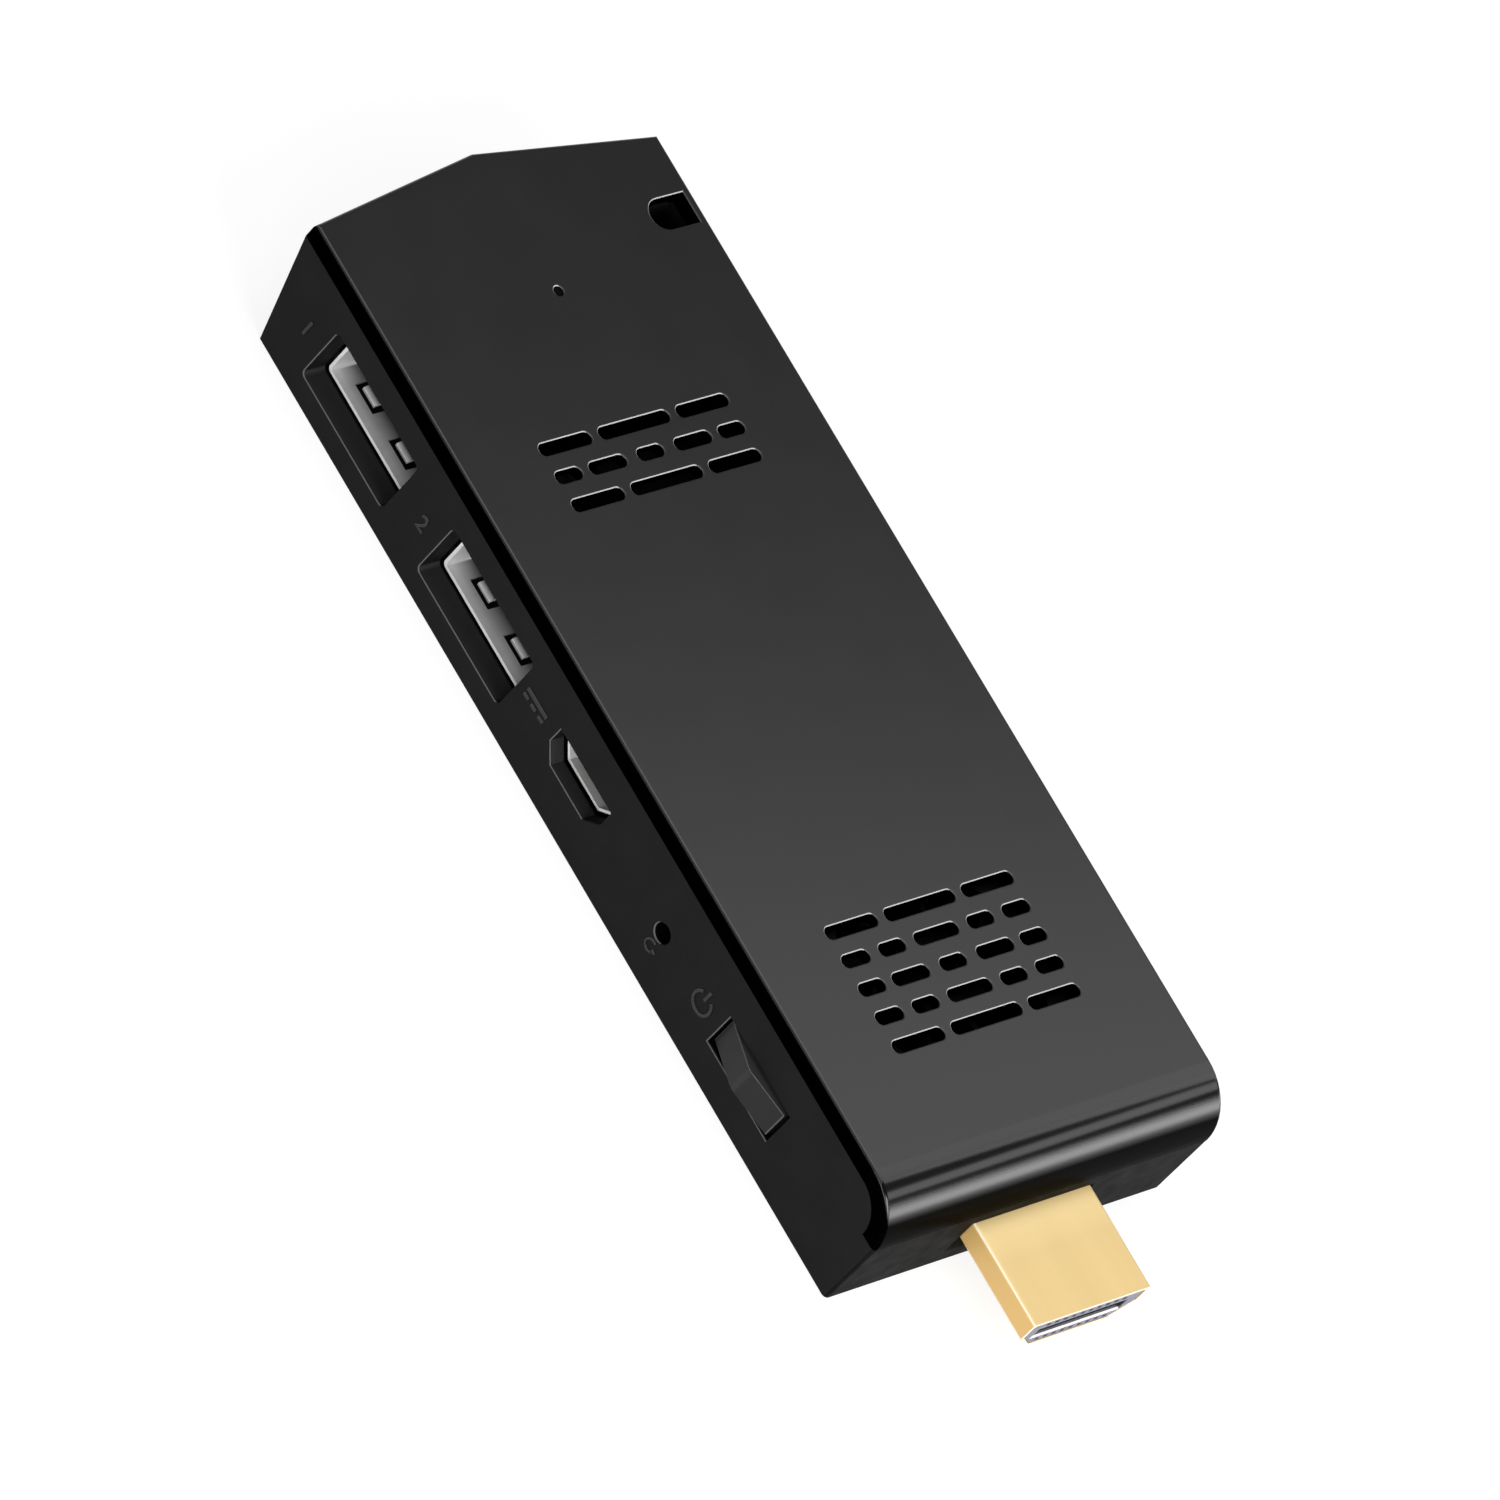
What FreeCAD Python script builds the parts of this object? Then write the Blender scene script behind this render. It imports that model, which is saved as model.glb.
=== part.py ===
import FreeCAD, Part
import math
import os
import Sketcher

doc = FreeCAD.newDocument("hdmi_stick_computer")

# Driving dimensions in millimetres, angles in degrees
sheet = doc.addObject("Spreadsheet::Sheet", "Dim")
SIZES = (
    # Case: width, height and the chain of places along its length
    ("body_width", 39.8),
    ("body_height", 12.9),
    ("end_to_rocker", 18.29),
    ("rocker_to_reset", 14.36),
    ("reset_to_inlet", 14.84),
    ("inlet_to_usb", 16.65),
    ("usb_pitch", 19.69),
    ("usb_to_apex", 17.67),
    ("gable_depth", 2.7),
    ("gable_rake", 3.2),
    ("case_wall", 1.4),
    ("case_floor", 1.2),
    ("case_edge", 0.5),
    ("window_edge", 0.12),
    ("shut_gap", 0.05),
    # Cover: side band, plate and the nose that bends over the near end
    ("cover_band", 1.7),
    ("cover_plate", 1.2),
    ("cover_edge", 0.4),
    ("nose_radius", 5.0),
    ("lip_depth", 1.2),
    ("lip_thickness", 0.8),
    ("lip_gap", 0.15),
    # Vent slots
    ("vent_span", 22.0),
    ("vent_width", 1.25),
    ("vent_pitch", 2.8),
    ("vent_edge", 0.12),
    ("vent_long", 8.2),
    ("vent_long_gap", 0.9),
    ("vent_middle", 5.1),
    ("vent_short", 3.0),
    ("vent_short_gap", 1.15),
    ("vent_stub", 3.0),
    ("vent_stub_gap", 1.35),
    ("vent_dash", 4.25),
    ("apex_to_vents", 30.45),
    # Board, held on the four case screws' bosses
    ("board_top", 4.5),
    ("board_thickness", 1.0),
    ("board_gap", 0.3),
    ("solder_gap", 0.05),
    ("boss_radius", 1.9),
    ("screw_radius", 0.8),
    ("screw_length", 7.4),
    ("screw_head_radius", 1.5),
    ("screw_head_height", 0.9),
    ("screw_clearance", 0.15),
    ("screw_cross_length", 1.8),
    ("screw_cross_width", 0.4),
    ("screw_cross_depth", 0.5),
    ("screw_inset", 4.4),
    ("end_to_screws", 7.25),
    ("usb_to_screw", 8.82),
    ("apex_to_screw", 15.25),
    # Plug: sheet shell, moulded insert and two rows of contacts
    ("plug_reach", 10.0),
    ("plug_inside", 8.0),
    ("plug_width", 13.9),
    ("plug_low_width", 9.8),
    ("plug_height", 4.45),
    ("plug_side", 2.2),
    ("plug_corner", 0.35),
    ("plug_top", 6.35),
    ("plug_sheet", 0.35),
    ("plug_gap", 0.12),
    ("plug_side_gap", 0.3),
    ("plug_ear", 1.95),
    ("plug_ear_length", 4.0),
    ("insert_setback", 0.06),
    ("insert_gap", 0.05),
    ("cavity_width", 10.6),
    ("cavity_top", 4.85),
    ("cavity_bottom", 3.5),
    ("cavity_depth", 7.0),
    ("cavity_lead", 0.3),
    ("peep_width", 0.55),
    ("peep_height", 0.4),
    ("peep_depth", 0.6),
    ("peep_inset", 0.3),
    ("contact_pitch", 1.0),
    ("contact_width", 0.5),
    ("contact_sheet", 0.15),
    ("contact_setback", 0.9),
    ("contact_tail", 1.4),
    # Full-size sockets in the long side
    ("usb_recess", 2.6),
    ("usb_width", 13.1),
    ("usb_height", 5.7),
    ("usb_depth", 13.6),
    ("usb_bottom", 2.55),
    ("usb_sheet", 0.3),
    ("usb_corner", 0.45),
    ("usb_rim", 0.28),
    ("usb_rim_corner", 0.5),
    ("usb_tab", 1.0),
    ("usb_tab_length", 3.0),
    ("bezel_rim", 1.2),
    ("bezel_gap", 0.1),
    ("spring_spread", 5.66),
    ("spring_width", 3.06),
    ("spring_slit", 0.56),
    ("spring_corner", 0.45),
    ("spring_front", 1.47),
    ("spring_length", 4.2),
    ("spring_rise", 0.45),
    ("spring_curl", 0.7),
    ("spring_drop", 0.3),
    ("spring_bend", 1.2),
    ("tongue_setback", 1.9),
    ("tongue_width", 11.1),
    ("tongue_thickness", 1.84),
    ("tongue_top_gap", 0.35),
    ("tongue_root", 3.0),
    ("usb_contact_width", 1.0),
    ("usb_contact_sheet", 0.25),
    ("usb_contact_outer", 3.5),
    ("usb_contact_inner", 1.0),
    # Power inlet
    ("inlet_recess", 1.7),
    ("inlet_width", 7.6),
    ("inlet_height", 2.54),
    ("inlet_chamfer", 1.28),
    ("inlet_rim", 0.38),
    ("inlet_sheet", 0.25),
    ("inlet_depth", 5.0),
    ("inlet_root", 1.4),
    ("inlet_tongue_width", 4.6),
    ("inlet_tongue_thickness", 0.6),
    ("inlet_tongue_setback", 0.7),
    ("inlet_contact_pitch", 0.65),
    ("inlet_contact_width", 0.35),
    ("inlet_contact_sheet", 0.12),
    # Reset plunger and its switch
    ("switch_axis", 5.46),
    ("reset_hole_radius", 0.95),
    ("reset_setback", 1.7),
    ("plunger_width", 1.3),
    ("plunger_height", 0.9),
    ("plunger_length", 1.9),
    ("plunger_gap", 0.08),
    ("reset_travel", 0.25),
    ("reset_block_setback", 2.9),
    ("reset_block_length", 4.4),
    ("reset_block_width", 2.6),
    ("reset_block_height", 1.9),
    # Power rocker on its pin
    ("rocker_window_length", 9.84),
    ("rocker_window_height", 3.9),
    ("rocker_length", 9.25),
    ("rocker_height", 3.1),
    ("rocker_end_sunk", 0.2),
    ("rocker_ridge_proud", 0.8),
    ("rocker_tilt", 3.4),
    ("rocker_depth", 3.03),
    ("pin_setback", 2.2),
    ("pin_radius", 0.5),
    ("pin_gap", 0.05),
    ("pin_grip", 0.01),
    ("shelf_length", 3.9),
    ("shelf_thickness", 0.8),
    ("shelf_gap", 0.35),
    ("rocker_tail", 2.2),
    ("rocker_tail_width", 1.0),
    ("rocker_tail_height", 1.2),
    ("switch_setback", 4.1),
    ("switch_length", 8.2),
    ("switch_width", 3.4),
    ("switch_height", 3.0),
    ("switch_pocket_length", 3.4),
    ("switch_pocket_height", 1.8),
    # Lamp, lanyard eye and card slot
    ("apex_to_lamp", 14.18),
    ("lamp_offset", 0.4),
    ("lamp_hole_radius", 0.5),
    ("pipe_gap", 0.06),
    ("pipe_flange_radius", 1.1),
    ("pipe_flange", 0.6),
    ("pipe_setback", 0.15),
    ("lamp_length", 1.6),
    ("lamp_width", 0.8),
    ("lamp_height", 0.6),
    ("lamp_gap", 0.1),
    ("apex_to_eye", 9.9),
    ("eye_radius", 1.55),
    ("eye_length", 4.78),
    ("eye_bar", 0.9),
    ("eye_wall", 0.9),
    ("card_length", 14.0),
    ("card_width", 14.4),
    ("card_height", 1.4),
    ("card_slot_length", 11.6),
    ("card_slot_height", 0.9),
    ("card_slot_rise", 0.2),
    ("card_setback", 1.6),
    ("end_to_card", 20.75),
    # Fan under the near vents
    ("end_to_fan", 20.1),
    ("fan_size", 22.0),
    ("fan_height", 4.2),
    ("fan_bottom", 6.9),
    ("fan_bore_radius", 10.2),
    ("fan_leg_radius", 1.3),
    ("fan_leg_inset", 1.7),
    ("fan_hub_radius", 4.3),
    ("fan_hub_wall", 0.6),
    ("fan_hub_top", 0.3),
    ("fan_spider", 0.7),
    ("fan_arm_width", 1.4),
    ("fan_cup_gap", 0.55),
    ("fan_post_radius", 1.2),
    ("fan_post_height", 2.0),
    ("fan_shaft_radius", 0.6),
    ("fan_shaft_gap", 0.05),
    ("fan_tip_gap", 0.4),
    ("fan_blade_sheet", 0.5),
    ("fan_blade_height", 2.4),
    ("fan_blade_bend", 3.2),
    ("fan_blade_count", 7),
    ("stator_radius", 3.2),
    ("stator_height", 1.5),
    ("fan_screw_radius", 0.6),
    ("fan_screw_head", 1.1),
    ("fan_screw_head_height", 0.3),
    ("fan_lead_width", 0.8),
    ("fan_lead_height", 0.25),
    ("fan_lead_gap", 0.5),
    ("fan_to_socket", 8.35),
    ("fan_socket_offset", 14.0),
    ("fan_socket_length", 3.0),
    ("fan_socket_width", 2.6),
    ("fan_socket_height", 1.4),
    # Cooling of the processor
    ("end_to_processor", 43.45),
    ("processor_offset", 3.0),
    ("processor_size", 17.0),
    ("processor_base", 0.7),
    ("die_length", 10.0),
    ("die_width", 8.0),
    ("die_height", 0.4),
    ("pad_thickness", 0.4),
    ("sink_length", 23.8),
    ("sink_width", 24.0),
    ("sink_base", 1.1),
    ("sink_fin_height", 3.6),
    ("sink_fin", 0.7),
    ("sink_fin_pitch", 2.6),
    ("sink_post_radius", 1.3),
    ("sink_post_inset", 1.9),
    ("sink_screw_radius", 0.6),
    ("sink_screw_head", 1.1),
    ("sink_screw_head_height", 0.4),
)
for row, (alias, size) in enumerate(SIZES, start=1):
    sheet.set(f"A{row}", alias)
    sheet.set(f"B{row}", str(size))
    sheet.setAlias(f"B{row}", alias)

# Places worked out from the driving dimensions
place = doc.addObject("App::VarSet", "At")
PLACES = (
    ("half_width", "Dim.body_width / 2"),
    ("body_length", "Dim.end_to_rocker + Dim.rocker_to_reset + Dim.reset_to_inlet"
                    " + Dim.inlet_to_usb + Dim.usb_pitch + Dim.usb_to_apex"),
    ("near_face", "(At.body_length - Dim.plug_reach) / 2"),
    ("far_apex", "At.near_face - At.body_length"),
    ("rocker_x", "At.near_face - Dim.end_to_rocker"),
    ("reset_x", "At.rocker_x - Dim.rocker_to_reset"),
    ("inlet_x", "At.reset_x - Dim.reset_to_inlet"),
    ("usb_2_x", "At.inlet_x - Dim.inlet_to_usb"),
    ("usb_1_x", "At.usb_2_x - Dim.usb_pitch"),
    ("parting", "Dim.body_height - Dim.cover_band"),
    ("nose_end", "Dim.body_height - Dim.nose_radius"),
    ("nose_start", "At.near_face - Dim.nose_radius"),
    ("plate_under", "Dim.body_height - Dim.cover_plate"),
    ("case_top", "At.parting - Dim.shut_gap"),
    ("case_nose", "Dim.nose_radius - Dim.cover_band - Dim.shut_gap"),
    ("inner_width", "At.half_width - Dim.case_wall"),
    ("board_under", "Dim.board_top - Dim.board_thickness"),
    ("board_far", "At.far_apex + Dim.gable_depth + Dim.case_wall + Dim.board_gap"
                  " + Dim.gable_rake * (1 - At.board_under / At.parting)"),
    ("board_near", "At.near_face - Dim.case_wall - Dim.board_gap"),
    ("board_front", "-At.half_width + Dim.usb_recess + Dim.board_gap"),
    ("board_back", "At.inner_width - Dim.board_gap"),
    ("usb_front", "-At.half_width + Dim.usb_recess"),
    ("usb_rear", "At.usb_front + Dim.usb_depth"),
    ("usb_top", "Dim.usb_bottom + Dim.usb_height"),
    ("plug_bottom", "Dim.plug_top - Dim.plug_height"),
    ("plug_tip", "At.near_face + Dim.plug_reach"),
    ("plug_rear", "At.near_face - Dim.plug_inside"),
    ("inlet_front", "-At.half_width + Dim.inlet_recess"),
    ("pin_y", "-At.half_width + Dim.pin_setback"),
    ("switch_front", "-At.half_width + Dim.switch_setback"),
    ("shelf_reach", "Dim.pin_setback + Dim.pin_radius + Dim.shelf_thickness - Dim.case_wall / 2"),
    ("eye_x", "At.far_apex + Dim.apex_to_eye"),
    ("eye_flat", "At.half_width - Dim.eye_bar"),
    ("eye_centre", "At.eye_flat - Dim.eye_length + Dim.eye_radius"),
    ("lamp_x", "At.far_apex + Dim.apex_to_lamp"),
    ("card_x", "At.near_face - Dim.end_to_card"),
    ("card_front", "At.half_width - Dim.card_setback"),
    ("fan_x", "At.near_face - Dim.end_to_fan"),
    ("fan_leg", "Dim.fan_size / 2 - Dim.fan_leg_inset"),
    ("hub_bottom", "Dim.fan_bottom + Dim.fan_spider + Dim.fan_cup_gap"),
    ("hub_top", "Dim.fan_bottom + Dim.fan_height - Dim.fan_hub_top"),
    ("processor_x", "At.near_face - Dim.end_to_processor"),
    ("die_top", "Dim.board_top + Dim.processor_base + Dim.die_height"),
    ("sink_under", "At.die_top + Dim.pad_thickness"),
    ("screw_tip", "Dim.screw_clearance + Dim.screw_length"),
)
for name, expression in PLACES:
    place.addProperty("App::PropertyFloat", name)
    place.setExpression(name, expression)
doc.recompute()

# Through cuts run this far past the faces that they break
PAST = 1.0
# The origin plane that stands square to each axis
PLANE_OF_AXIS = {"x": "YZ_Plane", "y": "XZ_Plane", "z": "XY_Plane"}
TOLERANCE = 0.001

# The screws' places, as expressions: both near corners and both far corners
SCREWS = (
    ("At.near_face - Dim.end_to_screws", "-At.half_width + Dim.screw_inset"),
    ("At.near_face - Dim.end_to_screws", "At.half_width - Dim.screw_inset"),
    ("At.usb_1_x - Dim.usb_to_screw", "-At.half_width + Dim.screw_inset"),
    ("At.far_apex + Dim.apex_to_screw", "At.half_width - Dim.screw_inset"),
)
USB_PLACES = (("1", "At.usb_1_x"), ("2", "At.usb_2_x"))


def number(expression):
    return float(sheet.evalExpression(str(expression)))


def new_body(name):
    owner = doc.addObject("PartDesign::Body", name)
    owner.Label = name
    return owner


def origin_feature(owner, role):
    return next(item for item in owner.Origin.OriginFeatures if item.Role == role)


def bind(target, **expressions):
    for path, expression in expressions.items():
        target.setExpression(path.replace("_at_", "Placement.Base."), str(expression))


def new_sketch(owner, name, axis, start):
    """A sketch square to an axis, at the place start along it."""
    drawing = owner.newObject("Sketcher::SketchObject", name)
    drawing.AttachmentSupport = (origin_feature(owner, PLANE_OF_AXIS[axis]), [""])
    drawing.MapMode = "FlatFace"
    sign = "-" if axis == "y" else ""
    drawing.setExpression("AttachmentOffset.Base.z", f"{sign}({start})")
    return drawing


def fix(drawing, kind, curve, end, expression):
    index = drawing.addConstraint(
        Sketcher.Constraint(kind, -1, 1, curve, end, number(expression)))
    drawing.setExpression(f"Constraints[{index}]", str(expression))


def outline(drawing, corners, arcs=None):
    """A closed outline; arcs maps a corner's number to its arc's centre and turn."""
    arcs = arcs or {}
    points = [FreeCAD.Vector(number(across), number(up), 0) for across, up in corners]
    first = drawing.GeometryCount
    heads = []
    for index, start in enumerate(points):
        end = points[(index + 1) % len(points)]
        heads.append(1)
        if index not in arcs:
            drawing.addGeometry(Part.LineSegment(start, end), False)
            continue
        across, up, turn = arcs[index]
        centre = FreeCAD.Vector(number(across), number(up), 0)
        angles = [math.atan2(point.y - centre.y, point.x - centre.x) for point in (start, end)]
        if turn == "clockwise":
            angles.reverse()
            heads[-1] = 2
        circle = Part.Circle(centre, FreeCAD.Vector(0, 0, 1), (start - centre).Length)
        drawing.addGeometry(Part.ArcOfCircle(circle, *angles), False)
    for index, (across, up) in enumerate(corners):
        curve = first + index
        following = (index + 1) % len(corners)
        drawing.addConstraint(Sketcher.Constraint(
            "Coincident", curve, 3 - heads[index], first + following, heads[following]))
        fix(drawing, "DistanceX", curve, heads[index], across)
        fix(drawing, "DistanceY", curve, heads[index], up)
    for index, (across, up, turn) in arcs.items():
        chord = points[(index + 1) % len(points)] - points[index]
        if abs(chord.y) > abs(chord.x):
            fix(drawing, "DistanceX", first + index, 3, across)
        else:
            fix(drawing, "DistanceY", first + index, 3, up)


def rectangle(drawing, left, right, low, high):
    outline(drawing, [(left, low), (right, low), (right, high), (left, high)])


def rounded_rectangle(drawing, left, right, low, high, radius):
    """A rectangle whose four corners are quarter circles."""
    inner_left, inner_right = f"{left} + {radius}", f"{right} - ({radius})"
    inner_low, inner_high = f"{low} + {radius}", f"{high} - ({radius})"
    outline(
        drawing,
        [(inner_left, low), (inner_right, low), (right, inner_low), (right, inner_high),
         (inner_right, high), (inner_left, high), (left, inner_high), (left, inner_low)],
        {1: (inner_right, inner_low, "counter"), 3: (inner_right, inner_high, "counter"),
         5: (inner_left, inner_high, "counter"), 7: (inner_left, inner_low, "counter")})


def pill(drawing, across, low, high, radius):
    """A slot with round ends that runs up the sketch."""
    left, right = f"{across} - {radius}", f"{across} + {radius}"
    low_centre, high_centre = f"{low} + {radius}", f"{high} - {radius}"
    outline(
        drawing,
        [(left, low_centre), (right, low_centre), (right, high_centre), (left, high_centre)],
        {0: (across, low_centre, "counter"), 2: (across, high_centre, "counter")})


def ring(drawing, across, up, radius):
    centre = FreeCAD.Vector(number(across), number(up), 0)
    curve = drawing.addGeometry(
        Part.Circle(centre, FreeCAD.Vector(0, 0, 1), number(radius)), False)
    fix(drawing, "DistanceX", curve, 3, across)
    fix(drawing, "DistanceY", curve, 3, up)
    index = drawing.addConstraint(Sketcher.Constraint("Radius", curve, number(radius)))
    drawing.setExpression(f"Constraints[{index}]", str(radius))


def extrude(owner, name, drawing, length, axis, cut=False):
    """Pads or pockets a sketch towards the positive end of its axis."""
    kind = "PartDesign::Pocket" if cut else "PartDesign::Pad"
    feature = owner.newObject(kind, name)
    feature.Profile = drawing
    feature.setExpression("Length", str(length))
    feature.Reversed = (axis == "y") != cut
    return feature


def block(owner, name, low, size, cut=False):
    """A box from its low corner, added to the body or cut from it."""
    kind = "PartDesign::SubtractiveBox" if cut else "PartDesign::AdditiveBox"
    feature = owner.newObject(kind, name)
    bind(feature, Length=size[0], Width=size[1], Height=size[2],
         _at_x=low[0], _at_y=low[1], _at_z=low[2])
    return feature


def rod(owner, name, foot, radius, height, cut=False):
    """An upright cylinder from its foot, added to the body or cut from it."""
    kind = "PartDesign::SubtractiveCylinder" if cut else "PartDesign::AdditiveCylinder"
    feature = owner.newObject(kind, name)
    bind(feature, Radius=radius, Height=height, _at_x=foot[0], _at_y=foot[1], _at_z=foot[2])
    return feature


def repeat(owner, name, feature, role, count, pitch):
    """A row of copies of one feature along an axis of the body."""
    pattern = owner.newObject("PartDesign::LinearPattern", name)
    pattern.Originals = [feature]
    pattern.Direction = (origin_feature(owner, role), [""])
    pattern.Mode = "Spacing"
    pattern.Occurrences = count
    pattern.setExpression("Offset", str(pitch))
    owner.Tip = pattern
    return pattern


def edges_where(feature, test):
    """Names of the edges whose end points and middle all pass a test."""
    doc.recompute()
    names = []
    for index, edge in enumerate(feature.Shape.Edges, start=1):
        middle = edge.valueAt((edge.FirstParameter + edge.LastParameter) / 2)
        points = [vertex.Point for vertex in edge.Vertexes] + [middle]
        if all(test(point) for point in points):
            names.append(f"Edge{index}")
    return names


def round_edges(owner, name, feature, test, radius):
    rounding = owner.newObject("PartDesign::Fillet", name)
    rounding.Base = (feature, edges_where(feature, test))
    rounding.setExpression("Radius", str(radius))
    return rounding


def near(first, second):
    return abs(first - second) < TOLERANCE


def case_outline(drawing, inset, height, turn, end="At.near_face"):
    """The case's plan at a height: round near corners, gabled far end, drawn in by an inset."""
    side = f"(At.half_width - ({inset}))"
    apex = f"At.far_apex + {inset} + Dim.gable_rake * (1 - ({height}) / At.parting)"
    corner = f"{apex} + Dim.gable_depth * {side} / At.half_width"
    end = f"{end} - ({inset})"
    before, beside = f"{end} - {turn}", f"({side} - {turn})"
    outline(
        drawing,
        [(before, f"-{side}"), (end, f"-{beside}"), (end, beside), (before, side),
         (corner, side), (apex, 0), (corner, f"-{side}")],
        {0: (before, f"-{beside}", "counter"), 2: (before, beside, "counter")})


def eye_outline(drawing, growth, flat):
    """The lanyard eye in plan: flat towards the side wall, round towards the middle."""
    radius = f"(Dim.eye_radius + {growth})"
    left, right = f"At.eye_x - {radius}", f"At.eye_x + {radius}"
    outline(
        drawing,
        [(left, "At.eye_centre"), (right, "At.eye_centre"), (right, flat), (left, flat)],
        {0: ("At.eye_x", "At.eye_centre", "counter")})


def inlet_outline(drawing, growth):
    """The power inlet's six-sided mouth, wide side up, grown by a clearance."""
    half = f"Dim.inlet_width / 2 + {growth}"
    low_half = f"Dim.inlet_width / 2 - Dim.inlet_chamfer + ({growth}) * tan(22.5)"
    top = f"Dim.board_top + Dim.inlet_height + {growth}"
    bend = f"Dim.board_top + Dim.inlet_chamfer - ({growth}) * tan(22.5)"
    bottom = f"Dim.board_top - ({growth})"
    outline(drawing, [
        (f"At.inlet_x - ({low_half})", bottom), (f"At.inlet_x + {low_half}", bottom),
        (f"At.inlet_x + {half}", bend), (f"At.inlet_x + {half}", top),
        (f"At.inlet_x - ({half})", top), (f"At.inlet_x - ({half})", bend)])


def plug_outline(drawing, inset):
    """The plug's section: upright sides, tapered in to the narrow bottom."""
    half = f"(Dim.plug_width / 2 - ({inset}))"
    low_half = f"(Dim.plug_low_width / 2 - ({inset}) / 2)"
    top = f"(Dim.plug_top - ({inset}))"
    bottom = f"(At.plug_bottom + {inset})"
    bend = "Dim.plug_top - Dim.plug_side"
    turn = "Dim.plug_corner"
    outline(
        drawing,
        [(f"-{low_half}", bottom), (low_half, bottom), (half, bend), (half, f"{top} - {turn}"),
         (f"{half} - {turn}", top), (f"-({half} - {turn})", top), (f"-{half}", f"{top} - {turn}"),
         (f"-{half}", bend)],
        {3: (f"{half} - {turn}", f"{top} - {turn}", "counter"),
         5: (f"-({half} - {turn})", f"{top} - {turn}", "counter")})


# Bottom case: raked tray with every opening, bosses for the screws and bezels behind the sockets
case = new_body("bottom_case")
for label, kind, inset, low, high, turn in (
        ("Tray", "PartDesign::AdditiveLoft", 0, 0, "At.case_top", "Dim.case_edge"),
        ("Hollow", "PartDesign::SubtractiveLoft", "Dim.case_wall", "Dim.case_floor", "At.parting",
         "Dim.case_edge")):
    plans = []
    for end, height in (("Foot", low), ("Top", high)):
        plan = new_sketch(case, f"{label}{end}", "z", height)
        case_outline(plan, inset, height, turn)
        plans.append(plan)
    loft = case.newObject(kind, label)
    loft.Profile = plans[0]
    loft.Sections = plans[1:]
    loft.Ruled = True
nose_seat = new_sketch(case, "NoseSeat", "y", f"-At.half_width - {PAST}")
outline(
    nose_seat,
    [("At.nose_start", "At.nose_end + At.case_nose"), ("At.nose_start + At.case_nose", "At.nose_end"),
     ("At.nose_start + At.case_nose", "At.nose_end - Dim.shut_gap"),
     (f"At.near_face + {PAST}", "At.nose_end - Dim.shut_gap"),
     (f"At.near_face + {PAST}", "Dim.body_height"), ("At.nose_start", "Dim.body_height")],
    {0: ("At.nose_start", "At.nose_end", "clockwise")})
extrude(case, "NoseSeatCut", nose_seat, f"Dim.body_width + {2 * PAST}", "y", cut=True)
BEZEL_DEPTH = "- Dim.bezel_gap - Dim.case_wall / 2"
block(case, "UsbBezel",
      ("At.usb_1_x - Dim.usb_width / 2 - Dim.usb_rim - Dim.bezel_rim",
       "-At.half_width + Dim.case_wall / 2", "Dim.case_floor / 2"),
      ("Dim.usb_pitch + Dim.usb_width + 2 * (Dim.usb_rim + Dim.bezel_rim)",
       f"Dim.usb_recess {BEZEL_DEPTH}",
       "At.usb_top + Dim.usb_rim + Dim.bezel_rim - Dim.case_floor / 2"))
block(case, "InletBezel",
      ("At.inlet_x - Dim.inlet_width / 2 - Dim.inlet_rim - Dim.bezel_rim",
       "-At.half_width + Dim.case_wall / 2", "Dim.case_floor / 2"),
      ("Dim.inlet_width + 2 * (Dim.inlet_rim + Dim.bezel_rim)",
       f"Dim.inlet_recess {BEZEL_DEPTH}",
       "Dim.board_top + Dim.inlet_height + Dim.inlet_rim + Dim.bezel_rim - Dim.case_floor / 2"))
for label, bottom in (
        ("LowShelf", "Dim.switch_axis - Dim.rocker_height / 2 - Dim.shelf_gap - Dim.shelf_thickness"),
        ("HighShelf", "Dim.switch_axis + Dim.rocker_height / 2 + Dim.shelf_gap")):
    block(case, label,
          ("At.rocker_x - Dim.shelf_length / 2", "-At.half_width + Dim.case_wall / 2", bottom),
          ("Dim.shelf_length", "At.shelf_reach", "Dim.shelf_thickness"))
eye_tube = new_sketch(case, "EyeTube", "z", "Dim.case_floor / 2")
eye_outline(eye_tube, "Dim.eye_wall", "At.half_width - Dim.case_wall / 2")
extrude(case, "EyeTubePad", eye_tube, "At.case_top - Dim.case_floor / 2", "z")
for index, (across, along) in enumerate(SCREWS, start=1):
    rod(case, f"Boss{index}", (across, along, "Dim.case_floor / 2"), "Dim.boss_radius",
        "At.board_under - Dim.case_floor / 2")
for index, (across, along) in enumerate(SCREWS, start=1):
    rod(case, f"BossBore{index}", (across, along, -PAST),
        "Dim.screw_radius + Dim.screw_clearance", f"At.board_under + {2 * PAST}", cut=True)
    rod(case, f"BossSink{index}", (across, along, -PAST),
        "Dim.screw_head_radius + Dim.screw_clearance",
        f"Dim.screw_head_height + Dim.screw_clearance + {PAST}", cut=True)
rod(case, "PinBore",
    ("At.rocker_x", "At.pin_y",
     "Dim.switch_axis - Dim.rocker_height / 2 - Dim.shelf_gap - Dim.shelf_thickness"),
    "Dim.pin_radius + Dim.pin_grip",
    "Dim.rocker_height + 2 * (Dim.shelf_gap + Dim.shelf_thickness)", cut=True)
OUTSIDE = f"-At.half_width - {PAST}"
for number_text, centre in USB_PLACES:
    window = new_sketch(case, f"UsbWindow{number_text}", "y", OUTSIDE)
    rounded_rectangle(
        window, f"{centre} - Dim.usb_width / 2 - Dim.usb_rim",
        f"{centre} + Dim.usb_width / 2 + Dim.usb_rim",
        "Dim.usb_bottom - Dim.usb_rim", "At.usb_top + Dim.usb_rim", "Dim.usb_rim_corner")
    extrude(case, f"UsbWindowCut{number_text}", window, f"Dim.usb_recess + {PAST}", "y", cut=True)
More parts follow.
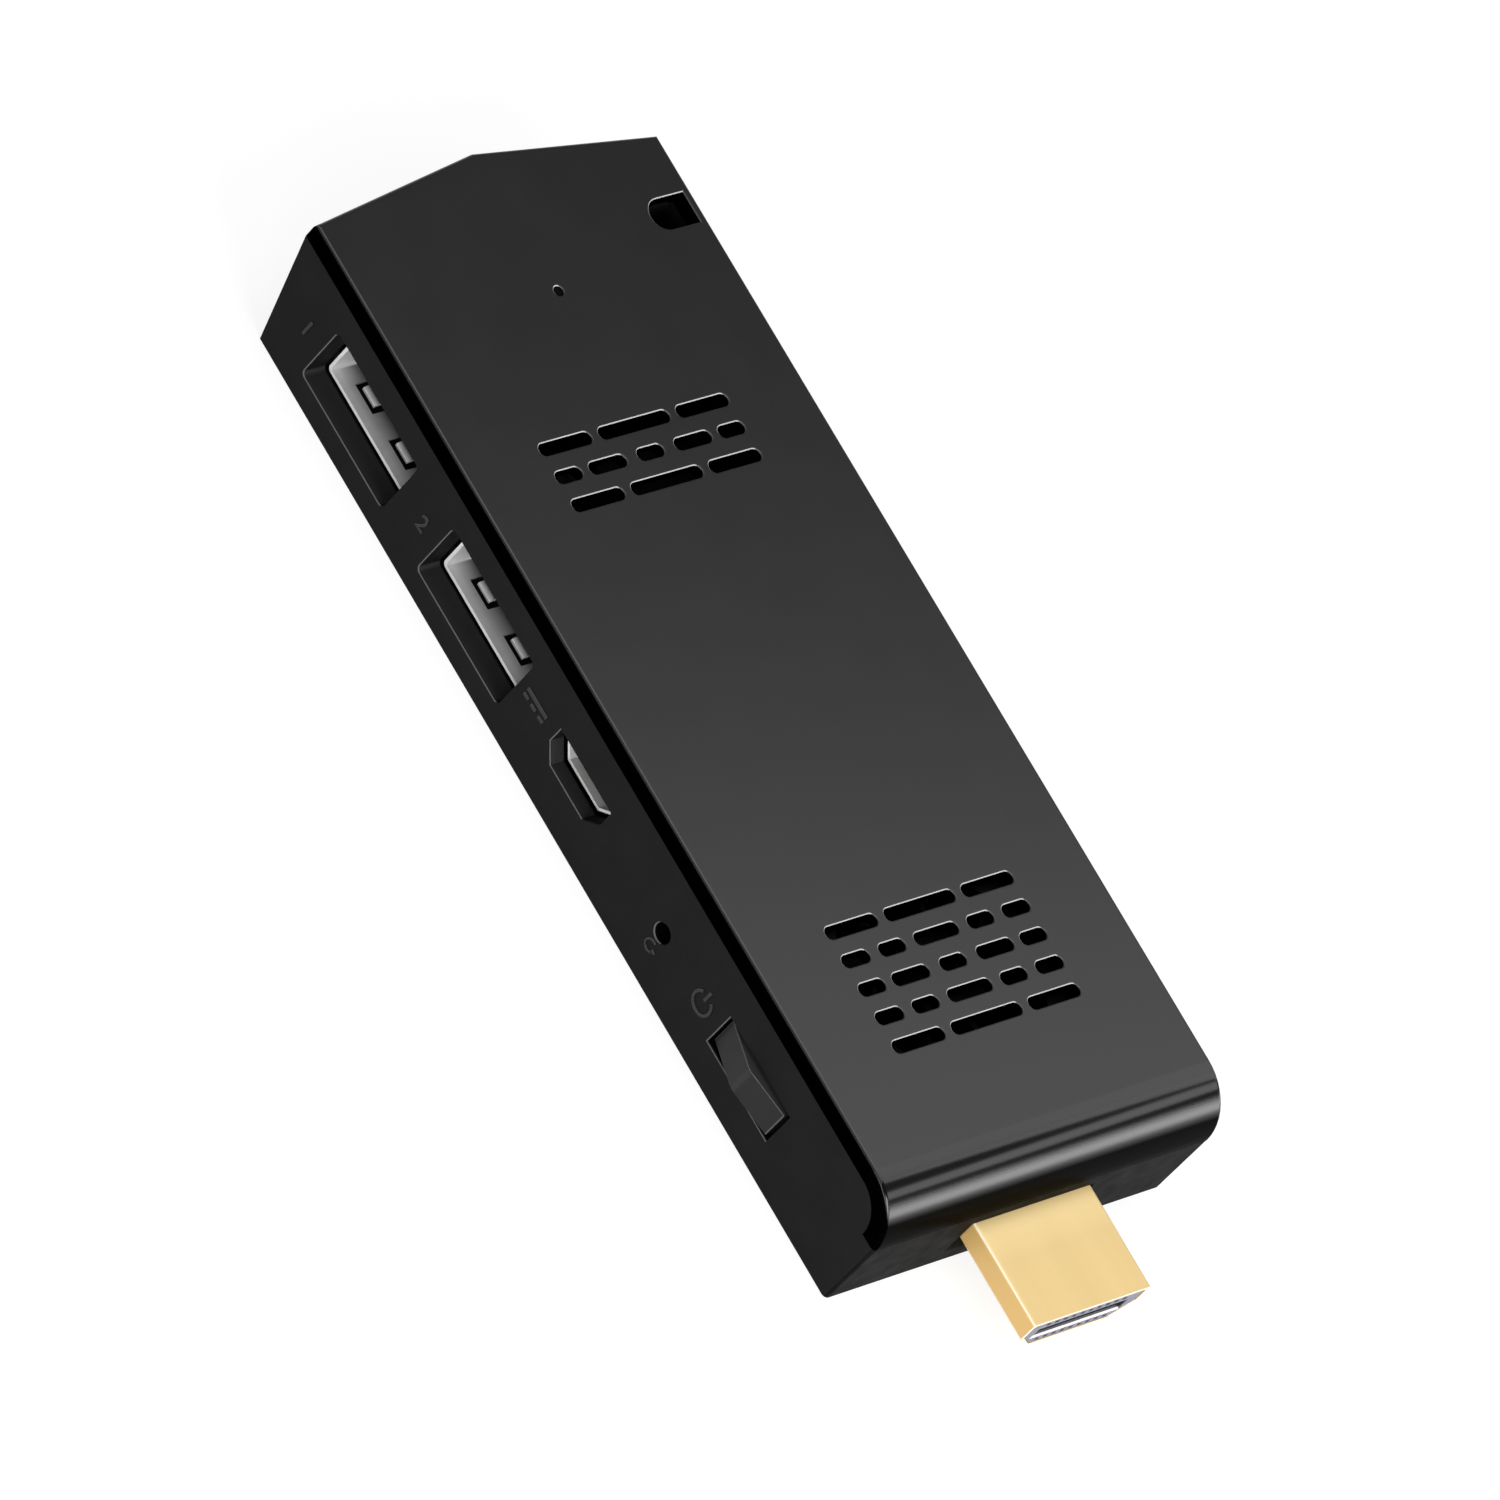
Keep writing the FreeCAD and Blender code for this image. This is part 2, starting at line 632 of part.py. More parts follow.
inlet_window = new_sketch(case, "InletWindow", "y", OUTSIDE)
inlet_outline(inlet_window, "Dim.inlet_rim")
extrude(case, "InletWindowCut", inlet_window, f"Dim.inlet_recess + {PAST}", "y", cut=True)
side_holes = new_sketch(case, "SideHoles", "y", OUTSIDE)
ring(side_holes, "At.reset_x", "Dim.switch_axis", "Dim.reset_hole_radius")
rectangle(side_holes, "At.rocker_x - Dim.rocker_window_length / 2",
          "At.rocker_x + Dim.rocker_window_length / 2",
          "Dim.switch_axis - Dim.rocker_window_height / 2",
          "Dim.switch_axis + Dim.rocker_window_height / 2")
side_cut = extrude(case, "SideHolesCut", side_holes, f"Dim.case_wall + {PAST}", "y", cut=True)


def on_window_rim(point):
    """True on the long side's outer face, on the edges of its windows and holes."""
    inside = number("At.usb_1_x - Dim.usb_width") < point.x < number("At.rocker_x + Dim.rocker_length")
    between = number("Dim.case_floor") < point.z < number("At.case_top - Dim.case_floor")
    return near(point.y, -number("At.half_width")) and inside and between


round_edges(case, "WindowEdge", side_cut, on_window_rim, "Dim.window_edge")
plug_window = new_sketch(case, "PlugWindow", "x", "At.near_face - Dim.case_wall")
rectangle(plug_window, "-Dim.plug_width / 2 - Dim.plug_side_gap",
          "Dim.plug_width / 2 + Dim.plug_side_gap",
          "At.plug_bottom - Dim.plug_gap", "Dim.plug_top + Dim.plug_gap")
extrude(case, "PlugWindowCut", plug_window, f"Dim.case_wall + {PAST}", "x", cut=True)
block(case, "CardSlot",
      ("At.card_x - Dim.card_slot_length / 2", "At.inner_width",
       "Dim.board_top + Dim.card_slot_rise"),
      ("Dim.card_slot_length", f"Dim.case_wall + {PAST}", "Dim.card_slot_height"), cut=True)
eye_bore = new_sketch(case, "EyeBore", "z", -PAST)
eye_outline(eye_bore, 0, "At.eye_flat")
extrude(case, "EyeBoreCut", eye_bore, f"Dim.body_height + {PAST}", "z", cut=True)

# Top cover: thin plate with a side band, bent down over the near end
cover = new_body("top_cover")
side_view = new_sketch(cover, "SideView", "y", "-At.half_width")
outline(
    side_view,
    [("At.far_apex", "At.parting"), ("At.nose_start", "At.parting"),
     ("At.near_face - Dim.cover_band", "At.nose_end"), ("At.near_face", "At.nose_end"),
     ("At.nose_start", "Dim.body_height"), ("At.far_apex", "Dim.body_height")],
    {1: ("At.nose_start", "At.nose_end", "clockwise"),
     3: ("At.nose_start", "At.nose_end", "counter")})
extrude(cover, "Sheet", side_view, "Dim.body_width", "y")
gable = new_sketch(cover, "Gable", "z", f"At.parting - {PAST}")
OVER_GABLE = f"At.far_apex + Dim.gable_depth * (At.half_width + {PAST}) / At.half_width"
outline(gable, [
    (f"At.far_apex - {PAST}", f"-At.half_width - {PAST}"), (OVER_GABLE, f"-At.half_width - {PAST}"),
    ("At.far_apex", 0), (OVER_GABLE, f"At.half_width + {PAST}"),
    (f"At.far_apex - {PAST}", f"At.half_width + {PAST}")])
gable_cut = extrude(cover, "GableCut", gable, f"Dim.cover_band + {2 * PAST}", "z", cut=True)


def on_rim(point):
    """True on the cover's outer rim: its sides, its gable and the nose's side arcs."""
    half = number("At.half_width")
    reach = math.hypot(point.x - number("At.nose_start"), point.z - number("At.nose_end"))
    on_top = near(point.z, number("Dim.body_height"))
    on_nose = near(reach, number("Dim.nose_radius")) and point.x > number("At.nose_start") - TOLERANCE
    slope = number("Dim.gable_depth") / half
    on_gable = near(point.x, number("At.far_apex") + slope * abs(point.y))
    return (near(abs(point.y), half) and (on_top or on_nose)) or (on_gable and on_top)


round_edges(cover, "RimEdge", gable_cut, on_rim, "Dim.cover_edge")
relief = new_sketch(cover, "Relief", "z", f"At.parting - {PAST}")
case_outline(relief, "Dim.case_wall", "At.parting", "Dim.case_edge", "At.nose_start + Dim.case_wall")
extrude(cover, "ReliefCut", relief, f"Dim.cover_band - Dim.cover_plate + {PAST}", "z", cut=True)
for label, edge in (
        ("FrontLip", "-At.inner_width + Dim.lip_gap"),
        ("BackLip", "At.inner_width - Dim.lip_gap - Dim.lip_thickness")):
    block(cover, label, ("At.usb_1_x", edge, "At.parting - Dim.lip_depth"),
          ("At.rocker_x - At.usb_1_x", "Dim.lip_thickness",
           "Dim.lip_depth + Dim.cover_band - Dim.cover_plate / 2"))
for index, (across, along) in enumerate(SCREWS, start=1):
    rod(cover, f"Post{index}", (across, along, "Dim.board_top + Dim.solder_gap"), "Dim.boss_radius",
        "Dim.body_height - Dim.cover_plate / 2 - Dim.board_top - Dim.solder_gap")
for index, (across, along) in enumerate(SCREWS, start=1):
    rod(cover, f"PostBore{index}", (across, along, f"Dim.board_top - {PAST}"),
        "Dim.screw_radius + Dim.solder_gap",
        f"At.screw_tip + Dim.screw_head_height - Dim.board_top + {PAST} + Dim.board_gap", cut=True)
row_ends = "Dim.vent_span / 2"
slit = "Dim.vent_width / 2"


def vent_row(drawing, across, middle, gap, step, step_gap):
    """One row: a middle slot, slots beside it, and end slots that fill the span."""
    pill(drawing, across, f"-{middle} / 2", f"{middle} / 2", slit)
    start = f"({middle} / 2 + {gap})"
    if step:
        stop = f"({start} + {step})"
        pill(drawing, across, start, stop, slit)
        pill(drawing, across, f"-{stop}", f"-{start}", slit)
        start = f"({stop} + {step_gap})"
    pill(drawing, across, start, row_ends, slit)
    pill(drawing, across, f"-{row_ends}", f"-{start}", slit)


LONG_ROW = ("Dim.vent_long", "Dim.vent_long_gap", None, None)
SHORT_ROW = ("Dim.vent_middle", "Dim.vent_short_gap", "Dim.vent_short", "Dim.vent_short_gap")
MIXED_ROW = ("Dim.vent_stub", "Dim.vent_stub_gap", "Dim.vent_dash", "Dim.vent_long_gap")
VENTS = (
    ("FarVents", "At.far_apex + Dim.apex_to_vents", (LONG_ROW, MIXED_ROW, LONG_ROW)),
    ("NearVents", "At.fan_x", (LONG_ROW, SHORT_ROW, MIXED_ROW, SHORT_ROW, LONG_ROW)),
)
for label, centre, rows in VENTS:
    grille = new_sketch(cover, label, "z", f"At.plate_under - {PAST}")
    for index, row in enumerate(rows):
        vent_row(grille, f"{centre} + Dim.vent_pitch * {index - len(rows) // 2}", *row)
    extrude(cover, f"{label}Cut", grille, f"Dim.cover_plate + {2 * PAST}", "z", cut=True)
small_holes = new_sketch(cover, "SmallHoles", "z", f"At.parting - {PAST}")
ring(small_holes, "At.lamp_x", "Dim.lamp_offset", "Dim.lamp_hole_radius")
eye_outline(small_holes, 0, "At.eye_flat")
holes_cut = extrude(cover, "SmallHolesCut", small_holes, f"Dim.cover_band + {2 * PAST}", "z", cut=True)


def on_hole_rim(point):
    """True on the top face inside the rim: the edges of the slots and holes."""
    inside = number("At.half_width - Dim.cover_edge")
    return near(point.z, number("Dim.body_height")) and abs(point.y) < inside - TOLERANCE and (
        number("At.far_apex + Dim.apex_to_eye - 2 * Dim.eye_radius") < point.x
        < number("At.nose_start") - TOLERANCE)


round_edges(cover, "HoleEdge", holes_cut, on_hole_rim, "Dim.vent_edge")

# Main board: notched round the sunk sockets, the plug, the rocker and the lanyard eye
board = new_body("main_board")
board_plan = new_sketch(board, "BoardPlan", "z", "At.board_under")
SOCKET_HALF = "(Dim.usb_width / 2 + Dim.lip_gap)"
SOCKET_DEEP = "At.usb_rear + Dim.lip_gap"
ROCKER_HALF = "(Dim.rocker_window_length / 2 + Dim.board_gap)"
PLUG_HALF = "(Dim.plug_width / 2 + Dim.lip_gap)"
PLUG_NOTCH = "At.plug_rear - Dim.board_gap"
EYE_NOTCH_X = "At.eye_x + Dim.eye_radius + Dim.eye_wall + Dim.board_gap"
EYE_NOTCH_Y = "At.eye_centre - Dim.eye_radius - Dim.eye_wall - Dim.board_gap"
board_corners = [("At.board_far", "At.board_front")]
for number_text, centre in USB_PLACES:
    board_corners += [
        (f"{centre} - {SOCKET_HALF}", "At.board_front"), (f"{centre} - {SOCKET_HALF}", SOCKET_DEEP),
        (f"{centre} + {SOCKET_HALF}", SOCKET_DEEP), (f"{centre} + {SOCKET_HALF}", "At.board_front")]
board_corners += [
    (f"At.rocker_x - {ROCKER_HALF}", "At.board_front"),
    (f"At.rocker_x - {ROCKER_HALF}", "At.switch_front - Dim.lip_gap"),
    (f"At.rocker_x + {ROCKER_HALF}", "At.switch_front - Dim.lip_gap"),
    (f"At.rocker_x + {ROCKER_HALF}", "At.board_front"),
    ("At.board_near", "At.board_front"), ("At.board_near", f"-{PLUG_HALF}"),
    (PLUG_NOTCH, f"-{PLUG_HALF}"), (PLUG_NOTCH, PLUG_HALF), ("At.board_near", PLUG_HALF),
    ("At.board_near", "At.board_back"), (EYE_NOTCH_X, "At.board_back"),
    (EYE_NOTCH_X, EYE_NOTCH_Y), ("At.board_far", EYE_NOTCH_Y)]
outline(board_plan, board_corners)
for across, along in SCREWS:
    ring(board_plan, across, along, "Dim.screw_radius + Dim.screw_clearance")
extrude(board, "BoardPad", board_plan, "Dim.board_thickness", "z")

# Case screws: heads sunk in the underside, tips in the cover's posts
screws = new_body("case_screws")
for index, (across, along) in enumerate(SCREWS, start=1):
    rod(screws, f"Head{index}", (across, along, "Dim.screw_clearance"), "Dim.screw_head_radius",
        "Dim.screw_head_height")
    rod(screws, f"Shank{index}", (across, along, "Dim.screw_clearance + Dim.screw_head_height / 2"),
        "Dim.screw_radius", "Dim.screw_length + Dim.screw_head_height / 2")
CROSS_FOOT = f"Dim.screw_clearance - {PAST}"
CROSS_HEIGHT = f"Dim.screw_cross_depth + {PAST}"
for index, (across, along) in enumerate(SCREWS, start=1):
    for way, length, width in (("X", "Dim.screw_cross_length", "Dim.screw_cross_width"),
                               ("Y", "Dim.screw_cross_width", "Dim.screw_cross_length")):
        block(screws, f"Cross{way}{index}",
              (f"{across} - {length} / 2", f"{along} - {width} / 2", CROSS_FOOT),
              (length, width, CROSS_HEIGHT), cut=True)

# Plug shell: folded sheet with two ears that are soldered to the board
plug_shell = new_body("hdmi_shell")
plug_skin = new_sketch(plug_shell, "PlugSkin", "x", "At.plug_rear")
plug_outline(plug_skin, 0)
extrude(plug_shell, "PlugSkinPad", plug_skin, "Dim.plug_inside + Dim.plug_reach", "x")
for label, edge in (
        ("FrontEar", "-Dim.plug_width / 2 - Dim.plug_ear"),
        ("BackEar", "Dim.plug_width / 2 - Dim.plug_sheet")):
    block(plug_shell, label, ("At.plug_rear + Dim.board_gap", edge, "Dim.board_top"),
          ("Dim.plug_ear_length", "Dim.plug_ear + Dim.plug_sheet", "Dim.plug_sheet"))
plug_bore = new_sketch(plug_shell, "PlugBore", "x", f"At.plug_rear - {PAST}")
plug_outline(plug_bore, "Dim.plug_sheet")
extrude(plug_shell, "PlugBoreCut", plug_bore, f"Dim.plug_inside + Dim.plug_reach + {2 * PAST}",
        "x", cut=True)

# Plug insert: moulded block with the cavity and a channel for each row of contacts
insert = new_body("hdmi_insulator")
insert_section = new_sketch(insert, "InsertSection", "x", "At.plug_rear")
plug_outline(insert_section, "Dim.plug_sheet + Dim.insert_gap")
extrude(insert, "InsertPad", insert_section, "Dim.plug_inside + Dim.plug_reach - Dim.insert_setback", "x")
INSERT_TIP = "At.plug_tip - Dim.insert_setback"
cavity = new_sketch(insert, "Cavity", "y", "-Dim.cavity_width / 2")
outline(cavity, [
    (f"{INSERT_TIP} - Dim.cavity_depth", "Dim.cavity_bottom"),
    (f"{INSERT_TIP} - Dim.cavity_lead", "Dim.cavity_bottom"),
    (INSERT_TIP, "Dim.cavity_bottom - Dim.cavity_lead"),
    (f"{INSERT_TIP} + {PAST}", "Dim.cavity_bottom - Dim.cavity_lead"),
    (f"{INSERT_TIP} + {PAST}", "Dim.cavity_top"),
    (f"{INSERT_TIP} - Dim.cavity_depth", "Dim.cavity_top")])
extrude(insert, "CavityCut", cavity, "Dim.cavity_width", "y", cut=True)
CONTACT_ROWS = (
    ("hdmi_contacts_upper", 10, "Dim.cavity_top - Dim.contact_sheet", "Dim.board_top",
     "Dim.cavity_top + Dim.peep_inset"),
    ("hdmi_contacts_lower", 9, "Dim.cavity_bottom", "At.board_under - Dim.contact_sheet",
     "Dim.cavity_bottom - Dim.cavity_lead - Dim.peep_inset - Dim.peep_height"),
)
for name, count, level, tail, peep_foot in CONTACT_ROWS:
    row_half = f"({count - 1} * Dim.contact_pitch + Dim.contact_width) / 2"
    block(insert, f"Channel{count}",
          (f"At.plug_rear - {PAST}", f"-{row_half} - Dim.insert_gap", f"{level} - Dim.insert_gap"),
          (f"Dim.plug_inside + {PAST} + Dim.plug_reach - Dim.cavity_depth",
           f"2 * {row_half} + 2 * Dim.insert_gap", "Dim.contact_sheet + 2 * Dim.insert_gap"), cut=True)
    peep = block(insert, f"Peep{count}",
                 (f"{INSERT_TIP} - Dim.peep_depth",
                  f"-({count - 1} * Dim.contact_pitch + Dim.peep_width) / 2", peep_foot),
                 (f"Dim.peep_depth + {PAST}", "Dim.peep_width", "Dim.peep_height"), cut=True)
    repeat(insert, f"PeepRow{count}", peep, "Y_Axis", count, "Dim.contact_pitch")

# Plug contacts: bent strips whose tails lie on both faces of the board's edge
for name, count, level, tail, peep_foot in CONTACT_ROWS:
    contacts = new_body(name)
    strip = new_sketch(
        contacts, f"Strip{count}", "y", f"-({count - 1} * Dim.contact_pitch + Dim.contact_width) / 2")
    bend_x = "At.plug_rear - Dim.insert_gap"
    front_x = "At.plug_tip - Dim.insert_setback - Dim.contact_setback"
    rear_x = f"{bend_x} - Dim.contact_tail"
    outline(strip, [
        (f"{bend_x} - Dim.contact_sheet", f"{level} + Dim.contact_sheet"),
        (f"{bend_x} - Dim.contact_sheet", f"{tail} + Dim.contact_sheet"),
        (rear_x, f"{tail} + Dim.contact_sheet"), (rear_x, tail), (bend_x, tail),
        (bend_x, level), (front_x, level), (front_x, f"{level} + Dim.contact_sheet")])
    strip_pad = extrude(contacts, f"StripPad{count}", strip, "Dim.contact_width", "y")
    repeat(contacts, f"StripRow{count}", strip_pad, "Y_Axis", count, "Dim.contact_pitch")

# Full-size sockets: folded shell with sprung tongues, moulded tongue and four contacts each
for number_text, centre in USB_PLACES:
    shell = new_body(f"usb_shell_{number_text}")
    skin = new_sketch(shell, f"Skin{number_text}", "y", "At.usb_front")
    rounded_rectangle(skin, f"{centre} - Dim.usb_width / 2", f"{centre} + Dim.usb_width / 2",
                      "Dim.usb_bottom", "At.usb_top", "Dim.usb_corner")
    extrude(shell, f"SkinPad{number_text}", skin, "Dim.usb_depth", "y")
    for label, edge in (
            ("FarTab", f"{centre} - Dim.usb_width / 2 - Dim.usb_tab"),
            ("NearTab", f"{centre} + Dim.usb_width / 2 - Dim.usb_sheet")):
        block(shell, f"{label}{number_text}",
              (edge, "At.usb_rear - Dim.usb_tab_length - Dim.usb_tab", "Dim.board_top"),
              ("Dim.usb_tab + Dim.usb_sheet", "Dim.usb_tab_length", "Dim.usb_sheet"))
    bore = new_sketch(shell, f"Bore{number_text}", "y", f"At.usb_front - {PAST}")
    rounded_rectangle(
        bore, f"{centre} - Dim.usb_width / 2 + Dim.usb_sheet",
        f"{centre} + Dim.usb_width / 2 - Dim.usb_sheet", "Dim.usb_bottom + Dim.usb_sheet",
        "At.usb_top - Dim.usb_sheet", "Dim.usb_corner - Dim.usb_sheet / 2")
    extrude(shell, f"BoreCut{number_text}", bore, f"Dim.usb_depth - Dim.usb_sheet + {PAST}", "y", cut=True)
    slits = new_sketch(shell, f"Slits{number_text}", "z", "At.usb_top - 2 * Dim.usb_sheet")
    windows = new_sketch(shell, f"Windows{number_text}", "z", f"Dim.usb_bottom - {PAST}")
    front = "At.usb_front + Dim.spring_front"
    rear = f"{front} + Dim.spring_length"
    for side in ("-", "+"):
        middle = f"{centre} {side} Dim.spring_spread / 2"
        left, right = f"{middle} - Dim.spring_width / 2", f"{middle} + Dim.spring_width / 2"
        rectangle(windows, left, right, front, rear)
        outline(slits, [
            (left, front), (right, front), (right, rear), (f"{right} - Dim.spring_slit", rear),
            (f"{right} - Dim.spring_slit", f"{front} + Dim.spring_slit + Dim.spring_corner"),
            (f"{right} - Dim.spring_slit - Dim.spring_corner", f"{front} + Dim.spring_slit"),
            (f"{left} + Dim.spring_slit + Dim.spring_corner", f"{front} + Dim.spring_slit"),
            (f"{left} + Dim.spring_slit", f"{front} + Dim.spring_slit + Dim.spring_corner"),
            (f"{left} + Dim.spring_slit", rear), (left, rear)])
    extrude(shell, f"SlitsCut{number_text}", slits, f"2 * Dim.usb_sheet + {PAST}", "z", cut=True)
    extrude(shell, f"WindowsCut{number_text}", windows, f"2 * Dim.usb_sheet + {PAST}", "z", cut=True)
    # The lower leaves rise from the rear of their windows and curl down at the tip
    tip = f"{front} + Dim.spring_slit"
    peak = f"{tip} + Dim.spring_curl"
    peak_low, peak_high = (f"Dim.usb_bottom + {rise}" for rise in (
        "Dim.spring_rise", "Dim.spring_rise + Dim.usb_sheet"))
    for index, side in enumerate(("-", "+")):
        middle = f"{centre} {side} Dim.spring_spread / 2"
        leaf = new_sketch(shell, f"Leaf{number_text}{index}", "x",
                          f"{middle} - Dim.spring_width / 2 + Dim.spring_slit")
        outline(leaf, [
            (f"{rear} + Dim.usb_sheet", "Dim.usb_bottom"),
            (f"{rear} + Dim.usb_sheet", "Dim.usb_bottom + Dim.usb_sheet"),
            (rear, "Dim.usb_bottom + Dim.usb_sheet"), (peak, peak_high),
            (tip, f"{peak_high} - Dim.spring_drop"), (tip, f"{peak_low} - Dim.spring_drop"),
            (peak, peak_low), (rear, "Dim.usb_bottom")])
        leaf_pad = extrude(shell, f"LeafPad{number_text}{index}", leaf,
                           "Dim.spring_width - 2 * Dim.spring_slit", "x")
    peak_y, peak_z = number(peak), number(peak_high)
    round_edges(shell, f"LeafBend{number_text}", leaf_pad,
                lambda point: near(point.y, peak_y) and near(point.z, peak_z), "Dim.spring_bend")

    tongue = new_body(f"usb_tongue_{number_text}")
    inside = "(Dim.usb_sheet + Dim.insert_gap)"
    block(tongue, f"Root{number_text}",
          (f"{centre} - Dim.usb_width / 2 + {inside}", "At.usb_rear - Dim.usb_sheet - Dim.tongue_root",
           f"Dim.usb_bottom + {inside} + Dim.usb_corner"),
          (f"Dim.usb_width - 2 * {inside}", "Dim.tongue_root",
           f"Dim.usb_height - 2 * {inside} - 2 * Dim.usb_corner"))
    tongue_under = "At.usb_top - Dim.usb_sheet - Dim.tongue_top_gap - Dim.tongue_thickness"
    block(tongue, f"Blade{number_text}",
          (f"{centre} - Dim.tongue_width / 2", "At.usb_front + Dim.tongue_setback", tongue_under),
          ("Dim.tongue_width", "Dim.usb_depth - Dim.usb_sheet - Dim.tongue_setback",
           "Dim.tongue_thickness"))

    strips = new_body(f"usb_contacts_{number_text}")
    for index, offset in enumerate(
            ("- Dim.usb_contact_outer", "- Dim.usb_contact_inner",
             "+ Dim.usb_contact_inner", "+ Dim.usb_contact_outer")):
        block(strips, f"Contact{number_text}{index}",
              (f"{centre} {offset} - Dim.usb_contact_width / 2",
               "At.usb_front + Dim.tongue_setback + Dim.board_gap",
               f"{tongue_under} - Dim.usb_contact_sheet"),
              ("Dim.usb_contact_width",
               "Dim.usb_depth - Dim.usb_sheet - Dim.tongue_setback - Dim.tongue_root - 2 * Dim.board_gap",
               "Dim.usb_contact_sheet"))

# Power inlet: small folded shell on the board, with its tongue and five contacts
inlet_shell = new_body("micro_usb_shell")
inlet_skin = new_sketch(inlet_shell, "InletSkin", "y", "At.inlet_front")
inlet_outline(inlet_skin, 0)
extrude(inlet_shell, "InletSkinPad", inlet_skin, "Dim.inlet_depth", "y")
inlet_bore = new_sketch(inlet_shell, "InletBore", "y", f"At.inlet_front - {PAST}")
inlet_outline(inlet_bore, "(-Dim.inlet_sheet)")
extrude(inlet_shell, "InletBoreCut", inlet_bore, f"Dim.inlet_depth + {2 * PAST}", "y", cut=True)
inlet_tongue = new_body("micro_usb_tongue")
inlet_root = new_sketch(
    inlet_tongue, "InletRoot", "y", "At.inlet_front + Dim.inlet_depth - Dim.inlet_root")
inlet_outline(inlet_root, "(-Dim.inlet_sheet - Dim.insert_gap)")
extrude(inlet_tongue, "InletRootPad", inlet_root, "Dim.inlet_root", "y")
INLET_TONGUE_TOP = "Dim.board_top + Dim.inlet_height - Dim.inlet_sheet - Dim.inlet_tongue_setback / 2"
block(inlet_tongue, "InletBlade",
      ("At.inlet_x - Dim.inlet_tongue_width / 2", "At.inlet_front + Dim.inlet_tongue_setback",
       f"{INLET_TONGUE_TOP} - Dim.inlet_tongue_thickness"),
      ("Dim.inlet_tongue_width", "Dim.inlet_depth - Dim.inlet_tongue_setback - Dim.inlet_root / 2",
       "Dim.inlet_tongue_thickness"))
inlet_contacts = new_body("micro_usb_contacts")
inlet_strip = block(
    inlet_contacts, "InletStrip",
    ("At.inlet_x - 2 * Dim.inlet_contact_pitch - Dim.inlet_contact_width / 2",
     "At.inlet_front + Dim.inlet_tongue_setback + Dim.insert_gap",
     f"{INLET_TONGUE_TOP} - Dim.inlet_tongue_thickness - Dim.inlet_contact_sheet"),
    ("Dim.inlet_contact_width",
     "Dim.inlet_depth - Dim.inlet_tongue_setback - Dim.inlet_root - 2 * Dim.insert_gap",
     "Dim.inlet_contact_sheet"))
repeat(inlet_contacts, "InletStripRow", inlet_strip, "X_Axis", 5, "Dim.inlet_contact_pitch")

# Reset: plunger behind the small hole, and its switch block on the board
BLOCK_FRONT = "-At.half_width + Dim.reset_block_setback"
PLUNGER_FRONT = "-At.half_width + Dim.reset_setback"
reset_block = new_body("reset_switch")
block(reset_block, "ResetBlock",
      ("At.reset_x - Dim.reset_block_length / 2", BLOCK_FRONT, "Dim.board_top"),
      ("Dim.reset_block_length", "Dim.reset_block_width", "Dim.reset_block_height"))
block(reset_block, "PlungerPocket",
      ("At.reset_x - Dim.plunger_width / 2 - Dim.plunger_gap", f"{BLOCK_FRONT} - {PAST}",
       "Dim.switch_axis - Dim.plunger_height / 2 - Dim.plunger_gap"),
      ("Dim.plunger_width + 2 * Dim.plunger_gap",
       f"Dim.plunger_length + Dim.reset_setback - Dim.reset_block_setback + Dim.reset_travel"
       f" + 2 * Dim.plunger_gap + {PAST}",
       "Dim.plunger_height + 2 * Dim.plunger_gap"), cut=True)
plunger = new_body("reset_button")
plunger_block = block(
    plunger, "Plunger",
    ("At.reset_x - Dim.plunger_width / 2", PLUNGER_FRONT, "Dim.switch_axis - Dim.plunger_height / 2"),
    ("Dim.plunger_width", "Dim.plunger_length", "Dim.plunger_height"))

# Power rocker: drawn round its own pin, then set on the pin with its far end pressed in
rocker = new_body("power_rocker")
rocker_plan = new_sketch(rocker, "RockerPlan", "z", "-Dim.rocker_height / 2")
RIDGE = "-Dim.pin_setback - Dim.rocker_ridge_proud"
ENDS = "-Dim.pin_setback + Dim.rocker_end_sunk"
outline(rocker_plan, [
    ("-Dim.rocker_length / 2", ENDS), (0, RIDGE), ("Dim.rocker_length / 2", ENDS),
    ("Dim.rocker_length / 2", f"{ENDS} + Dim.rocker_depth / 2"),
    ("Dim.rocker_length / 4", f"{ENDS} + Dim.rocker_depth"),
    ("-Dim.rocker_length / 4", f"{ENDS} + Dim.rocker_depth"),
    ("-Dim.rocker_length / 2", f"{ENDS} + Dim.rocker_depth / 2")])
extrude(rocker, "RockerPad", rocker_plan, "Dim.rocker_height", "z")
block(rocker, "RockerTail",
      ("-Dim.rocker_tail_width / 2", f"{ENDS} + Dim.rocker_depth / 2",
       "-Dim.rocker_tail_height / 2"),
      ("Dim.rocker_tail_width", "Dim.rocker_depth / 2 + Dim.rocker_tail", "Dim.rocker_tail_height"))
rod(rocker, "RockerBore", (0, 0, f"-Dim.rocker_height / 2 - {PAST}"),
    "Dim.pin_radius + Dim.pin_gap", f"Dim.rocker_height + {2 * PAST}", cut=True)
rocker.Placement = FreeCAD.Placement(
    FreeCAD.Vector(0, 0, 0), FreeCAD.Rotation(FreeCAD.Vector(0, 0, -1), number("Dim.rocker_tilt")))
bind(rocker, _at_x="At.rocker_x", _at_y="At.pin_y", _at_z="Dim.switch_axis")
rocker.setExpression("Placement.Rotation.Angle", "Dim.rocker_tilt")
rocker_pin = new_body("rocker_pin")
rod(rocker_pin, "Pin",
    ("At.rocker_x", "At.pin_y",
     "Dim.switch_axis - Dim.rocker_height / 2 - Dim.shelf_gap - Dim.shelf_thickness"),
    "Dim.pin_radius", "Dim.rocker_height + 2 * (Dim.shelf_gap + Dim.shelf_thickness)")
power_switch = new_body("power_switch")
